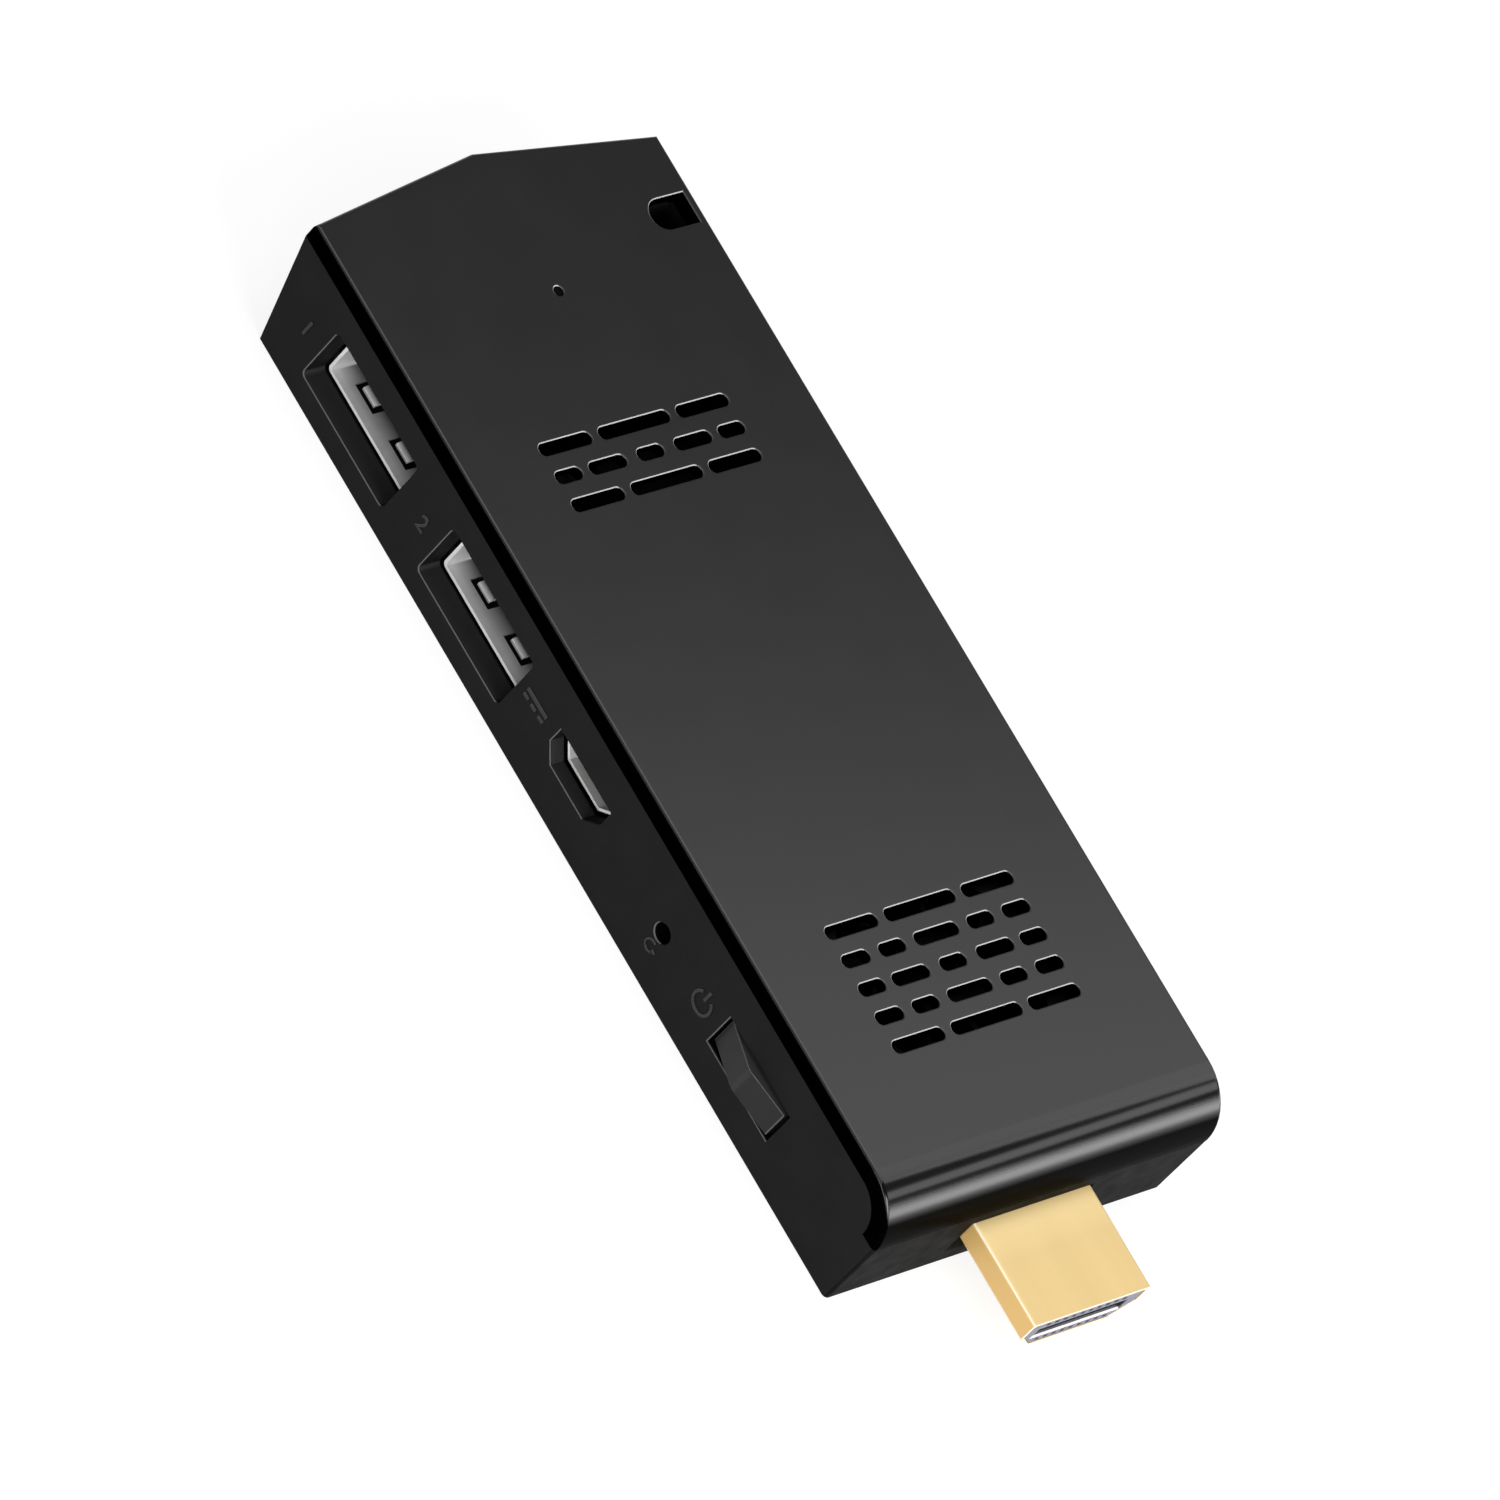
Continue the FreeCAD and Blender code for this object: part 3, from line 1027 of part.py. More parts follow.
block(power_switch, "SwitchBlock",
      ("At.rocker_x - Dim.switch_length / 2", "At.switch_front", "Dim.board_top"),
      ("Dim.switch_length", "Dim.switch_width", "Dim.switch_height"))
block(power_switch, "SwitchPocket",
      ("At.rocker_x - Dim.switch_pocket_length / 2", f"At.switch_front - {PAST}",
       "Dim.switch_axis - Dim.switch_pocket_height / 2"),
      ("Dim.switch_pocket_length", f"Dim.switch_width * 0.7 + {PAST}",
       "Dim.switch_pocket_height"), cut=True)

# Processor package, its heat pad and the heat sink screwed down over it
processor = new_body("processor_package")
block(processor, "Substrate",
      ("At.processor_x - Dim.processor_size / 2", "Dim.processor_offset - Dim.processor_size / 2",
       "Dim.board_top"),
      ("Dim.processor_size", "Dim.processor_size", "Dim.processor_base"))
block(processor, "Die",
      ("At.processor_x - Dim.die_length / 2", "Dim.processor_offset - Dim.die_width / 2",
       "Dim.board_top + Dim.processor_base"),
      ("Dim.die_length", "Dim.die_width", "Dim.die_height"))
heat_pad = doc.addObject("Part::Box", "thermal_pad")
heat_pad.Label = "thermal_pad"
bind(heat_pad, Length="Dim.die_length", Width="Dim.die_width", Height="Dim.pad_thickness",
     _at_x="At.processor_x - Dim.die_length / 2",
     _at_y="Dim.processor_offset - Dim.die_width / 2", _at_z="At.die_top")
sink = new_body("heat_sink")
SINK_LOW = ("At.processor_x - Dim.sink_length / 2", "Dim.processor_offset - Dim.sink_width / 2",
            "At.sink_under")
SINK_POSTS = (
    ("At.processor_x - Dim.sink_length / 2 + Dim.sink_post_inset",
     "Dim.processor_offset + Dim.sink_width / 2 - Dim.sink_post_inset"),
    ("At.processor_x + Dim.sink_length / 2 - Dim.sink_post_inset",
     "Dim.processor_offset - Dim.sink_width / 2 + Dim.sink_post_inset"),
)
block(sink, "SinkBase", SINK_LOW, ("Dim.sink_length", "Dim.sink_width", "Dim.sink_base"))
fin = block(
    sink, "SinkFin",
    (SINK_LOW[0], f"{SINK_LOW[1]} + Dim.sink_fin_pitch / 2", "At.sink_under + Dim.sink_base / 2"),
    ("Dim.sink_length", "Dim.sink_fin", "Dim.sink_fin_height + Dim.sink_base / 2"))
repeat(sink, "SinkFins", fin, "Y_Axis", 9, "Dim.sink_fin_pitch")
for index, (across, along) in enumerate(SINK_POSTS, start=1):
    rod(sink, f"SinkPost{index}", (across, along, "Dim.board_top"), "Dim.sink_post_radius",
        "At.sink_under + Dim.sink_base / 2 - Dim.board_top")
for index, (across, along) in enumerate(SINK_POSTS, start=1):
    rod(sink, f"SinkBore{index}", (across, along, f"Dim.board_top - {PAST}"),
        "Dim.sink_screw_radius + Dim.solder_gap",
        f"At.sink_under - Dim.board_top + {PAST}", cut=True)
for index, (across, along) in enumerate(SINK_POSTS, start=1):
    rod(board, f"SinkScrewHole{index}", (across, along, f"At.board_under - {PAST}"),
        "Dim.sink_screw_radius + Dim.solder_gap", f"Dim.board_thickness + {2 * PAST}", cut=True)
sink_screws = new_body("heat_sink_screws")
for index, (across, along) in enumerate(SINK_POSTS, start=1):
    rod(sink_screws, f"SinkHead{index}", (across, along, "At.board_under - Dim.sink_screw_head_height"),
        "Dim.sink_screw_head", "Dim.sink_screw_head_height")
    rod(sink_screws, f"SinkShank{index}",
        (across, along, "At.board_under - Dim.sink_screw_head_height / 2"), "Dim.sink_screw_radius",
        "Dim.board_thickness + Dim.processor_base + Dim.sink_screw_head_height / 2")

# Fan: frame on four legs, rotor on its shaft, coil ring inside the rotor's cup
fan_frame = new_body("fan_frame")
FAN_CORNERS = [
    (f"At.fan_x {across} At.fan_leg", f"0 {along} At.fan_leg")
    for across in "-+" for along in "-+"]
frame_plan = new_sketch(fan_frame, "FramePlan", "z", "Dim.fan_bottom")
rounded_rectangle(
    frame_plan, "At.fan_x - Dim.fan_size / 2", "At.fan_x + Dim.fan_size / 2",
    "-Dim.fan_size / 2", "Dim.fan_size / 2", "Dim.fan_leg_inset")
ring(frame_plan, "At.fan_x", 0, "Dim.fan_bore_radius")
extrude(fan_frame, "FramePad", frame_plan, "Dim.fan_height", "z")
LEAD_X = "At.fan_x"
LEAD_Z = "Dim.fan_bottom + Dim.fan_spider"
block(fan_frame, "LongArm",
      ("At.fan_x - Dim.fan_bore_radius - Dim.fan_tip_gap / 2", "-Dim.fan_arm_width / 2", "Dim.fan_bottom"),
      ("2 * Dim.fan_bore_radius + Dim.fan_tip_gap", "Dim.fan_arm_width", "Dim.fan_spider"))
block(fan_frame, "CrossArm",
      ("At.fan_x - Dim.fan_arm_width / 2", "-Dim.fan_bore_radius - Dim.fan_tip_gap / 2", "Dim.fan_bottom"),
      ("Dim.fan_arm_width", "2 * Dim.fan_bore_radius + Dim.fan_tip_gap", "Dim.fan_spider"))
rod(fan_frame, "MotorPlate", ("At.fan_x", 0, "Dim.fan_bottom"), "Dim.fan_hub_radius", "Dim.fan_spider")
rod(fan_frame, "BearingPost", ("At.fan_x", 0, "Dim.fan_bottom"), "Dim.fan_post_radius",
    "Dim.fan_spider + Dim.fan_post_height")
for index, (across, along) in enumerate(FAN_CORNERS, start=1):
    rod(fan_frame, f"FanLeg{index}", (across, along, "Dim.board_top"), "Dim.fan_leg_radius",
        "Dim.fan_bottom + Dim.fan_spider - Dim.board_top")
block(fan_frame, "LeadNotch",
      (f"{LEAD_X} - Dim.fan_lead_width / 2 - Dim.solder_gap", "Dim.fan_bore_radius - Dim.fan_tip_gap", LEAD_Z),
      ("Dim.fan_lead_width + 2 * Dim.solder_gap",
       "Dim.fan_size / 2 - Dim.fan_bore_radius + 2 * Dim.fan_tip_gap",
       "Dim.fan_lead_height + Dim.solder_gap"), cut=True)
rod(fan_frame, "BearingBore", ("At.fan_x", 0, f"Dim.fan_bottom - {PAST}"),
    "Dim.fan_shaft_radius + Dim.fan_shaft_gap",
    f"Dim.fan_spider + Dim.fan_post_height + {2 * PAST}", cut=True)
FAN_SCREWS = (FAN_CORNERS[0], FAN_CORNERS[3])
for index, (across, along) in enumerate(FAN_SCREWS, start=1):
    rod(fan_frame, f"FanScrewHole{index}", (across, along, f"Dim.board_top - {PAST}"),
        "Dim.fan_screw_radius + Dim.solder_gap",
        f"Dim.fan_bottom + Dim.fan_height - Dim.board_top + {2 * PAST}", cut=True)
    rod(board, f"FanScrewBoardHole{index}", (across, along, f"At.board_under - {PAST}"),
        "Dim.fan_screw_radius + Dim.solder_gap", f"Dim.board_thickness + {2 * PAST}", cut=True)
fan_screws = new_body("fan_screws")
for index, (across, along) in enumerate(FAN_SCREWS, start=1):
    rod(fan_screws, f"FanHead{index}", (across, along, "Dim.fan_bottom + Dim.fan_height"),
        "Dim.fan_screw_head", "Dim.fan_screw_head_height")
    rod(fan_screws, f"FanShank{index}", (across, along, "At.board_under"), "Dim.fan_screw_radius",
        "Dim.fan_bottom + Dim.fan_height + Dim.fan_screw_head_height / 2 - At.board_under")
stator = new_body("fan_stator")
rod(stator, "Coil", ("At.fan_x", 0, "Dim.fan_bottom + Dim.fan_spider"), "Dim.stator_radius",
    "Dim.stator_height")
rod(stator, "CoilBore", ("At.fan_x", 0, f"Dim.fan_bottom + Dim.fan_spider - {PAST}"),
    "Dim.fan_post_radius + Dim.solder_gap", f"Dim.stator_height + {2 * PAST}", cut=True)
fan_socket = doc.addObject("Part::Box", "fan_socket")
fan_socket.Label = "fan_socket"
SOCKET_X = "At.fan_x + Dim.fan_to_socket"
bind(fan_socket, Length="Dim.fan_socket_length", Width="Dim.fan_socket_width",
     Height="Dim.fan_socket_height", _at_x=f"{SOCKET_X} - Dim.fan_socket_length / 2",
     _at_y="Dim.fan_socket_offset - Dim.fan_socket_width / 2", _at_z="Dim.board_top")
lead = new_body("fan_lead")
LEAD_HALF = "Dim.fan_lead_width / 2"
LEAD_TURN = "Dim.fan_size / 2 + Dim.fan_lead_gap"
block(lead, "LeadOnArm", (f"{LEAD_X} - {LEAD_HALF}", "Dim.stator_radius + Dim.solder_gap", LEAD_Z),
      ("Dim.fan_lead_width",
       f"{LEAD_TURN} + Dim.fan_lead_width - Dim.stator_radius - Dim.solder_gap",
       "Dim.fan_lead_height"))
block(lead, "LeadAlongFrame", (f"{LEAD_X} - {LEAD_HALF}", LEAD_TURN, LEAD_Z),
      ("Dim.fan_to_socket + Dim.fan_lead_width", "Dim.fan_lead_width", "Dim.fan_lead_height"))
block(lead, "LeadOverSocket", (f"{SOCKET_X} - {LEAD_HALF}", LEAD_TURN, LEAD_Z),
      ("Dim.fan_lead_width", f"Dim.fan_socket_offset + {LEAD_HALF} - ({LEAD_TURN})",
       "Dim.fan_lead_height"))
block(lead, "LeadDown",
      (f"{SOCKET_X} - {LEAD_HALF}", f"Dim.fan_socket_offset - {LEAD_HALF}",
       "Dim.board_top + Dim.fan_socket_height"),
      ("Dim.fan_lead_width", "Dim.fan_lead_width",
       f"{LEAD_Z} + Dim.fan_lead_height - Dim.board_top - Dim.fan_socket_height"))
rotor = new_body("fan_rotor")
rod(rotor, "Hub", (0, 0, "At.hub_bottom"), "Dim.fan_hub_radius", "At.hub_top - At.hub_bottom")
rod(rotor, "HubCup", (0, 0, f"At.hub_bottom - {PAST}"), "Dim.fan_hub_radius - Dim.fan_hub_wall",
    f"At.hub_top - At.hub_bottom - Dim.fan_hub_wall + {PAST}", cut=True)
rod(rotor, "Shaft", (0, 0, "Dim.fan_bottom + Dim.fan_cup_gap"), "Dim.fan_shaft_radius",
    "At.hub_top - Dim.fan_hub_wall / 2 - Dim.fan_bottom - Dim.fan_cup_gap")
blade_plan = new_sketch(rotor, "BladePlan", "z", "At.hub_top - Dim.fan_blade_height")
BLADE_ROOT = "Dim.fan_hub_radius - Dim.fan_hub_wall / 2"
BLADE_TIP = "Dim.fan_bore_radius - Dim.fan_tip_gap"
outline(blade_plan, [
    (BLADE_ROOT, "-Dim.fan_blade_sheet / 2"),
    (f"({BLADE_ROOT} + {BLADE_TIP}) / 2", "Dim.fan_blade_bend / 4 - Dim.fan_blade_sheet / 2"),
    (f"sqrt(pow({BLADE_TIP}; 2) - pow(Dim.fan_blade_bend; 2))",
     "Dim.fan_blade_bend - Dim.fan_blade_sheet / 2"),
    (f"sqrt(pow({BLADE_TIP}; 2) - pow(Dim.fan_blade_bend; 2)) - Dim.fan_blade_sheet / 2",
     "Dim.fan_blade_bend + Dim.fan_blade_sheet / 2"),
    (f"({BLADE_ROOT} + {BLADE_TIP}) / 2", "Dim.fan_blade_bend / 4 + Dim.fan_blade_sheet / 2"),
    (BLADE_ROOT, "Dim.fan_blade_sheet / 2")])
blade = extrude(rotor, "Blade", blade_plan, "Dim.fan_blade_height", "z")
blades = rotor.newObject("PartDesign::PolarPattern", "Blades")
blades.Originals = [blade]
blades.Axis = (origin_feature(rotor, "Z_Axis"), [""])
blades.Angle = 360
blades.setExpression("Occurrences", "Dim.fan_blade_count")
rotor.Tip = blades
bind(rotor, _at_x="At.fan_x")

# Lamp on the board, and the clear pipe that carries its light to the cover
lamp = doc.addObject("Part::Box", "status_lamp")
lamp.Label = "status_lamp"
bind(lamp, Length="Dim.lamp_length", Width="Dim.lamp_width", Height="Dim.lamp_height",
     _at_x="At.lamp_x - Dim.lamp_length / 2", _at_y="Dim.lamp_offset - Dim.lamp_width / 2",
     _at_z="Dim.board_top")
pipe = new_body("light_pipe")
rod(pipe, "Pipe", ("At.lamp_x", "Dim.lamp_offset", "Dim.board_top + Dim.lamp_height + Dim.lamp_gap"),
    "Dim.lamp_hole_radius - Dim.pipe_gap",
    "Dim.body_height - Dim.pipe_setback - Dim.board_top - Dim.lamp_height - Dim.lamp_gap")
rod(pipe, "PipeFlange", ("At.lamp_x", "Dim.lamp_offset", "At.plate_under - Dim.pipe_flange"),
    "Dim.pipe_flange_radius", "Dim.pipe_flange")

# Card socket behind the slot in the back wall
card = new_body("card_socket")
block(card, "CardShell",
      ("At.card_x - Dim.card_length / 2", "At.card_front - Dim.card_width", "Dim.board_top"),
      ("Dim.card_length", "Dim.card_width", "Dim.card_height"))
block(card, "CardMouth",
      ("At.card_x - Dim.card_slot_length / 2", "At.card_front - Dim.card_width + Dim.card_slot_height",
       "Dim.board_top + Dim.card_slot_rise"),
      ("Dim.card_slot_length", f"Dim.card_width + {PAST}", "Dim.card_slot_height"), cut=True)

# Plain soldered parts: name, then x from an anchor, y, side of the board and size of each block
FLAT_PARTS = (
    ("storage_chip", "top", (("At.usb_2_x + 2.5", 6.5, 11.5, 13.0, 1.0),)),
    ("wifi_module", "top", (("At.usb_1_x + 10", 6.0, 12.0, 12.0, 1.8),)),
    ("antenna", "top", (("At.board_far + 2", 3.0, 2.0, 14.0, 1.2),)),
    ("memory_chips", "under", tuple(
        (f"At.processor_x + {offset}", 4.0, 8.0, 11.0, 0.9) for offset in (-19, -9, 1, 11))),
    ("power_controller", "top", (("At.inlet_x - 6", -8.0, 4.0, 4.0, 0.8),)),
    ("power_inductors", "top", tuple(
        (f"At.inlet_x + {offset}", -9.8, 2.6, 2.6, 1.2) for offset in (-2, 2, 6))),
    ("capacitors", "under", tuple(
        (f"At.processor_x + {offset}", -6.0, 1.0, 0.6, 0.5) for offset in range(-10, 10, 3))),
    ("crystal", "top", (("At.usb_2_x + 5", -1.8, 2.5, 2.0, 0.6),)),
)
for name, side, pieces in FLAT_PARTS:
    group = new_body(name)
    for index, (centre, along, length, width, height) in enumerate(pieces, start=1):
        foot = "Dim.board_top" if side == "top" else f"At.board_under - {height}"
        block(group, f"{name}_{index}", (f"{centre} - {length / 2}", along - width / 2, foot),
              (length, width, height))

# Every object must be sound, and every cut must take something away
doc.recompute()
for item in doc.Objects:
    if "Invalid" in item.State or "Error" in item.State:
        raise RuntimeError(f"{item.Name} failed: {item.State}")
    if item.TypeId in ("PartDesign::Pocket", "PartDesign::SubtractiveBox",
                       "PartDesign::SubtractiveCylinder", "PartDesign::SubtractiveLoft"):
        if item.Shape.Volume > item.BaseFeature.Shape.Volume - TOLERANCE ** 2:
            raise RuntimeError(f"{item.Name} cuts nothing")

os.makedirs("parts", exist_ok=True)
for item in doc.Objects:
    if item.TypeId not in ("PartDesign::Body", "Part::Box"):
        continue
    if item.Shape.isNull() or not item.Shape.isValid():
        raise RuntimeError(f"{item.Label} has no sound shape")
    item.Shape.exportStep(f"parts/{item.Label}.step")
    box = item.Shape.BoundBox
    print(f"{item.Label}: {len(item.Shape.Solids)} solids, {item.Shape.Volume:.2f} mm3, "
          f"x {box.XMin:.2f} {box.XMax:.2f}, y {box.YMin:.2f} {box.YMax:.2f}, z {box.ZMin:.2f} {box.ZMax:.2f}")
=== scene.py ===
import math
import bmesh
import bpy
from mathutils import Matrix, Vector

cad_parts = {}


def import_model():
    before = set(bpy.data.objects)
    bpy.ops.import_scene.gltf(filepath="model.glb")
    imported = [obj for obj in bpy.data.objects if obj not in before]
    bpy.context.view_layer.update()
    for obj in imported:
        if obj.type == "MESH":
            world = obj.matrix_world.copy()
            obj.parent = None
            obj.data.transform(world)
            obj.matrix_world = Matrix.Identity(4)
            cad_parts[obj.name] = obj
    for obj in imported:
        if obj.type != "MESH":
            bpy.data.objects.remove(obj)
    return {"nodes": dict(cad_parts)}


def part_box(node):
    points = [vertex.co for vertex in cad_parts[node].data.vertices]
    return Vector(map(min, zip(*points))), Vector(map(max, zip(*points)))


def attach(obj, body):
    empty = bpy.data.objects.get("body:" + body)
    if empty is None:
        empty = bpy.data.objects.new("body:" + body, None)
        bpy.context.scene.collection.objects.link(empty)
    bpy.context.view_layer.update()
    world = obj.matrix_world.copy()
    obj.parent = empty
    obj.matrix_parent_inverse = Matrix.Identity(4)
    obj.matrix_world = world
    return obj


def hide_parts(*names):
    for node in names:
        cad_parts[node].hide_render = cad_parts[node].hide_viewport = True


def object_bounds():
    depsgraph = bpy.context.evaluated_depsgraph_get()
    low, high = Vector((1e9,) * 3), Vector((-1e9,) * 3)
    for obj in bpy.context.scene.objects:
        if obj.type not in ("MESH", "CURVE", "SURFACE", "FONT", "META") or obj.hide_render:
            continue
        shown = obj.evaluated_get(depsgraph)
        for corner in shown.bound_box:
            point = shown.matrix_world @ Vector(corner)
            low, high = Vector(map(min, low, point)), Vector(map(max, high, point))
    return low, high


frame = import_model()
cad_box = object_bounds()
MM = 0.001

# Bottom case: the deep black tray that the board is screwed into. Moulded ABS with a fine
# spark-eroded grain on every outer face, closed from above by the cover.
CASE_BLACK = (0.0095, 0.0095, 0.0098)
CASE_BLACK_WORN = (0.0118, 0.0118, 0.012)
CASE_EDGE_HIGHLIGHT = (0.13, 0.13, 0.13)
CASE_SHELF_LIGHT = (0.03, 0.03, 0.03)
CASE_CORNER_HIGHLIGHT = (0.042, 0.042, 0.042)
CASE_END_SHADE = (0.002, 0.002, 0.002)
CASE_HOLLOW_SHADE = (0.001, 0.001, 0.001)
case_low, case_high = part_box("bottom_case")
rocker_low, rocker_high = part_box("power_rocker")
reset_low, reset_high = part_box("reset_button")
HOLE_X = (reset_low.x + reset_high.x) / 2
HOLE_Z = (reset_low.z + reset_high.z) / 2
FACE_DEPTH = 0.1 * MM
OPENING_DEPTH = 0.2 * MM
EDGE_END = 2 * MM
RECESS_TOP = 5.9 * MM
POCKET_SIDE = 0.9 * MM
POCKET_FLOOR = 1.6 * MM
POCKET_FRONT = 0.25 * MM
WALL_BACK = 2.9 * MM
HOLE_RADIUS = 0.98 * MM
NOSE_SHADE = 2.75 * MM

# How far a surface has turned, as one part of its normal: a finish starts at the first number and
# holds fully from the second
LEVEL = (0.9, 0.97)
LEANING = (0.2, 0.5)
SQUARE = (0.4, 0.6)
OFF_FACE = (-0.97, -0.88)
STILL_OUTWARD = (-0.1, -0.3)
TO_LIGHT = (0.1, 0.35)


def feed(target, inputs):
    """Gives each input of a node a plain value or another node's output."""
    for key, value in inputs.items():
        if isinstance(value, bpy.types.NodeSocket):
            target.id_data.links.new(value, target.inputs[key])
        else:
            target.inputs[key].default_value = value


def node(tree, kind, inputs=None, **settings):
    """One more node of a material."""
    made = tree.nodes.new(kind)
    for key, value in settings.items():
        setattr(made, key, value)
    feed(made, inputs or {})
    return made


def new_finish(name):
    """A new material with its shader, and the object's own coordinates to paint it by."""
    material = bpy.data.materials.new(name)
    material.use_nodes = True
    nodes = material.node_tree.nodes
    return material, nodes["Principled BSDF"], nodes.new("ShaderNodeTexCoord")


def surface(place):
    """Which way the surface faces and where it is, each as three numbers."""
    return [node(place.id_data, "ShaderNodeSeparateXYZ", {"Vector": place.outputs[name]}).outputs
            for name in ("Normal", "Object")]


def speckle(place, size, stretch=(1, 1, 1), detail=3.0):
    """Soft random patches of a size in metres, drawn out along an axis where stretched."""
    spread = [1 / (size * way) for way in stretch]
    mapping = node(place.id_data, "ShaderNodeMapping",
                   {"Vector": place.outputs["Object"], "Scale": spread})
    noise = node(place.id_data, "ShaderNodeTexNoise",
                 {"Vector": mapping.outputs["Vector"], "Scale": 1.0, "Detail": detail})
    return noise.outputs["Fac"]


def between(factor, low, high, start=0.3, end=0.7, kind="LINEAR"):
    """Turns a factor into a number between two limits."""
    ranged = node(factor.id_data, "ShaderNodeMapRange",
                  {"Value": factor, "From Min": start, "From Max": end, "To Min": low, "To Max": high},
                  interpolation_type=kind)
    return ranged.outputs["Result"]


def ramp(value, start, end):
    """Zero at a first value, one at a second, and even between."""
    return between(value, 0, 1, start, end)


def past(value, place, soft):
    """One from a place on, fading to zero over a soft distance before it."""
    return ramp(value, place - soft, place)


def before(value, place, soft):
    """One up to a place, fading to zero over a soft distance beyond it."""
    return ramp(value, place + soft, place)


def maths(operation, *values):
    """A number worked out from one or two numbers, the first of them a node's output."""
    worked = node(values[0].id_data, "ShaderNodeMath", dict(enumerate(values)), operation=operation)
    return worked.outputs[0]


def apart(value, place):
    """How far a value is from a place, either way."""
    return maths("ABSOLUTE", maths("SUBTRACT", value, place))


def all_of(*factors):
    """The product of factors: one only where all of them are."""
    product = factors[0]
    for factor in factors[1:]:
        product = maths("MULTIPLY", product, factor)
    return product


def mixed(factor, first, second):
    """A colour between two colours, each plain or a node's output."""
    colours = [value if isinstance(value, bpy.types.NodeSocket) else (*value, 1)
               for value in (first, second)]
    mixer = node(factor.id_data, "ShaderNodeMix", {0: factor, 6: colours[0], 7: colours[1]},
                 data_type="RGBA")
    return mixer.outputs[2]


def press(shader, height, depth):
    """Presses a pattern into the surface, to a depth in metres."""
    bump = node(shader.id_data, "ShaderNodeBump", {"Height": height, "Distance": depth, "Strength": 1.0})
    feed(shader, {"Normal": bump.outputs["Normal"]})


def dress(material, *names):
    """Gives nodes of the frame a finish, through their own material slots."""
    for name in names:
        for slot in frame["nodes"][name].material_slots:
            slot.material = material


case_plastic, shader, place = new_finish("case_plastic")
facing, where = surface(place)
tone = mixed(between(speckle(place, 4 * MM), 0, 1), CASE_BLACK, CASE_BLACK_WORN)
in_recess = all_of(past(where["Y"], case_low.y + OPENING_DEPTH, 0.08 * MM),
                   before(where["Z"], RECESS_TOP, 0.1 * MM))
# Painted light: the floors of the recesses are painted lighter, where the lamps barely reach them.
tone = mixed(all_of(in_recess, ramp(facing["Z"], *LEVEL)), tone, CASE_SHELF_LIGHT)
# Painted highlight: the rounded corner between a recess's floor and its side wall is painted light grey.
tone = mixed(all_of(in_recess, ramp(facing["X"], *LEANING), ramp(facing["Z"], *LEANING)), tone,
             CASE_CORNER_HIGHLIGHT)
# Painted shade: the end face below the cover's nose is painted near black.
shaded_end = all_of(ramp(facing["X"], *SQUARE), past(where["X"], case_high.x - NOSE_SHADE, 1 * MM))
tone = mixed(shaded_end, tone, CASE_END_SHADE)
# Painted shade: the inside of the rocker's pocket and of the reset hole is painted near black.
in_pocket = all_of(past(where["X"], rocker_low.x - POCKET_SIDE, 0.1 * MM),
                   before(where["X"], rocker_high.x + POCKET_SIDE, 0.1 * MM),
                   past(where["Z"], POCKET_FLOOR, 0.1 * MM),
                   past(where["Y"], case_low.y + POCKET_FRONT, 0.05 * MM),
                   before(where["Y"], case_low.y + WALL_BACK, 0.1 * MM))
tone = mixed(in_pocket, tone, CASE_HOLLOW_SHADE)
in_hole = all_of(before(apart(where["X"], HOLE_X), HOLE_RADIUS, 0.02 * MM),
                 before(apart(where["Z"], HOLE_Z), HOLE_RADIUS, 0.02 * MM),
                 past(where["Y"], case_low.y + OPENING_DEPTH, 0.04 * MM),
                 before(where["Y"], case_low.y + WALL_BACK, 0.1 * MM))
tone = mixed(in_hole, tone, CASE_HOLLOW_SHADE)
# Painted highlight: the rounded edges of the wall's openings that face the lamps are painted light grey.
edge = all_of(before(where["Y"], case_low.y + FACE_DEPTH, 0.06 * MM),
              before(where["X"], case_high.x - EDGE_END, 0.5 * MM),
              ramp(facing["Y"], *OFF_FACE),
              ramp(facing["Y"], *STILL_OUTWARD),
              ramp(maths("ADD", facing["X"], facing["Z"]), *TO_LIGHT))
feed(shader, {"Base Color": mixed(edge, tone, CASE_EDGE_HIGHLIGHT),
              "Roughness": between(speckle(place, 2 * MM), 0.58, 0.7),
              "Specular IOR Level": 0.06})
press(shader, speckle(place, 0.12 * MM, detail=2.0), 0.003 * MM)
dress(case_plastic, "bottom_case")

# Marks on the long side: port numbers, the direct-current sign, the reset arrow and the power
# sign. Each stands a hair proud of the wall, because it is cut into the case's mould.
MARK_BLACK = (0.013, 0.013, 0.0132)
MARK_BLACK_WORN = (0.016, 0.016, 0.0162)
MARK_HIGHLIGHT = (0.06, 0.06, 0.06)
MARK_SHADE = (0.001, 0.001, 0.001)
MARK_RISE = 0.1 * MM
MARK_ROOT = 0.05 * MM
MARK_MIDDLE = case_low.y + (MARK_ROOT - MARK_RISE) / 2
MARK_EDGE = 0.04 * MM
MARK_LINE = 0.4 * MM
MARK_SHARP = math.radians(40)
ARC_STEP = 12
LIT = (0.15, 0.4)
SHADED = (-0.15, -0.4)
mark_plastic, shader, place = new_finish("mark_plastic")
facing, where = surface(place)
# Painted highlight on the faces of each mark turned up and left, painted shadow on those turned down and
# right.
leaning = maths("SUBTRACT", facing["Z"], facing["X"])
tone = mixed(between(speckle(place, 2 * MM), 0, 1), MARK_BLACK, MARK_BLACK_WORN)
tone = mixed(ramp(leaning, *LIT), tone, MARK_HIGHLIGHT)
feed(shader, {"Base Color": mixed(ramp(leaning, *SHADED), tone, MARK_SHADE),
              "Roughness": between(speckle(place, 1 * MM), 0.4, 0.5),
              "Specular IOR Level": 0.3})
press(shader, speckle(place, 0.1 * MM, detail=2.0), 0.001 * MM)


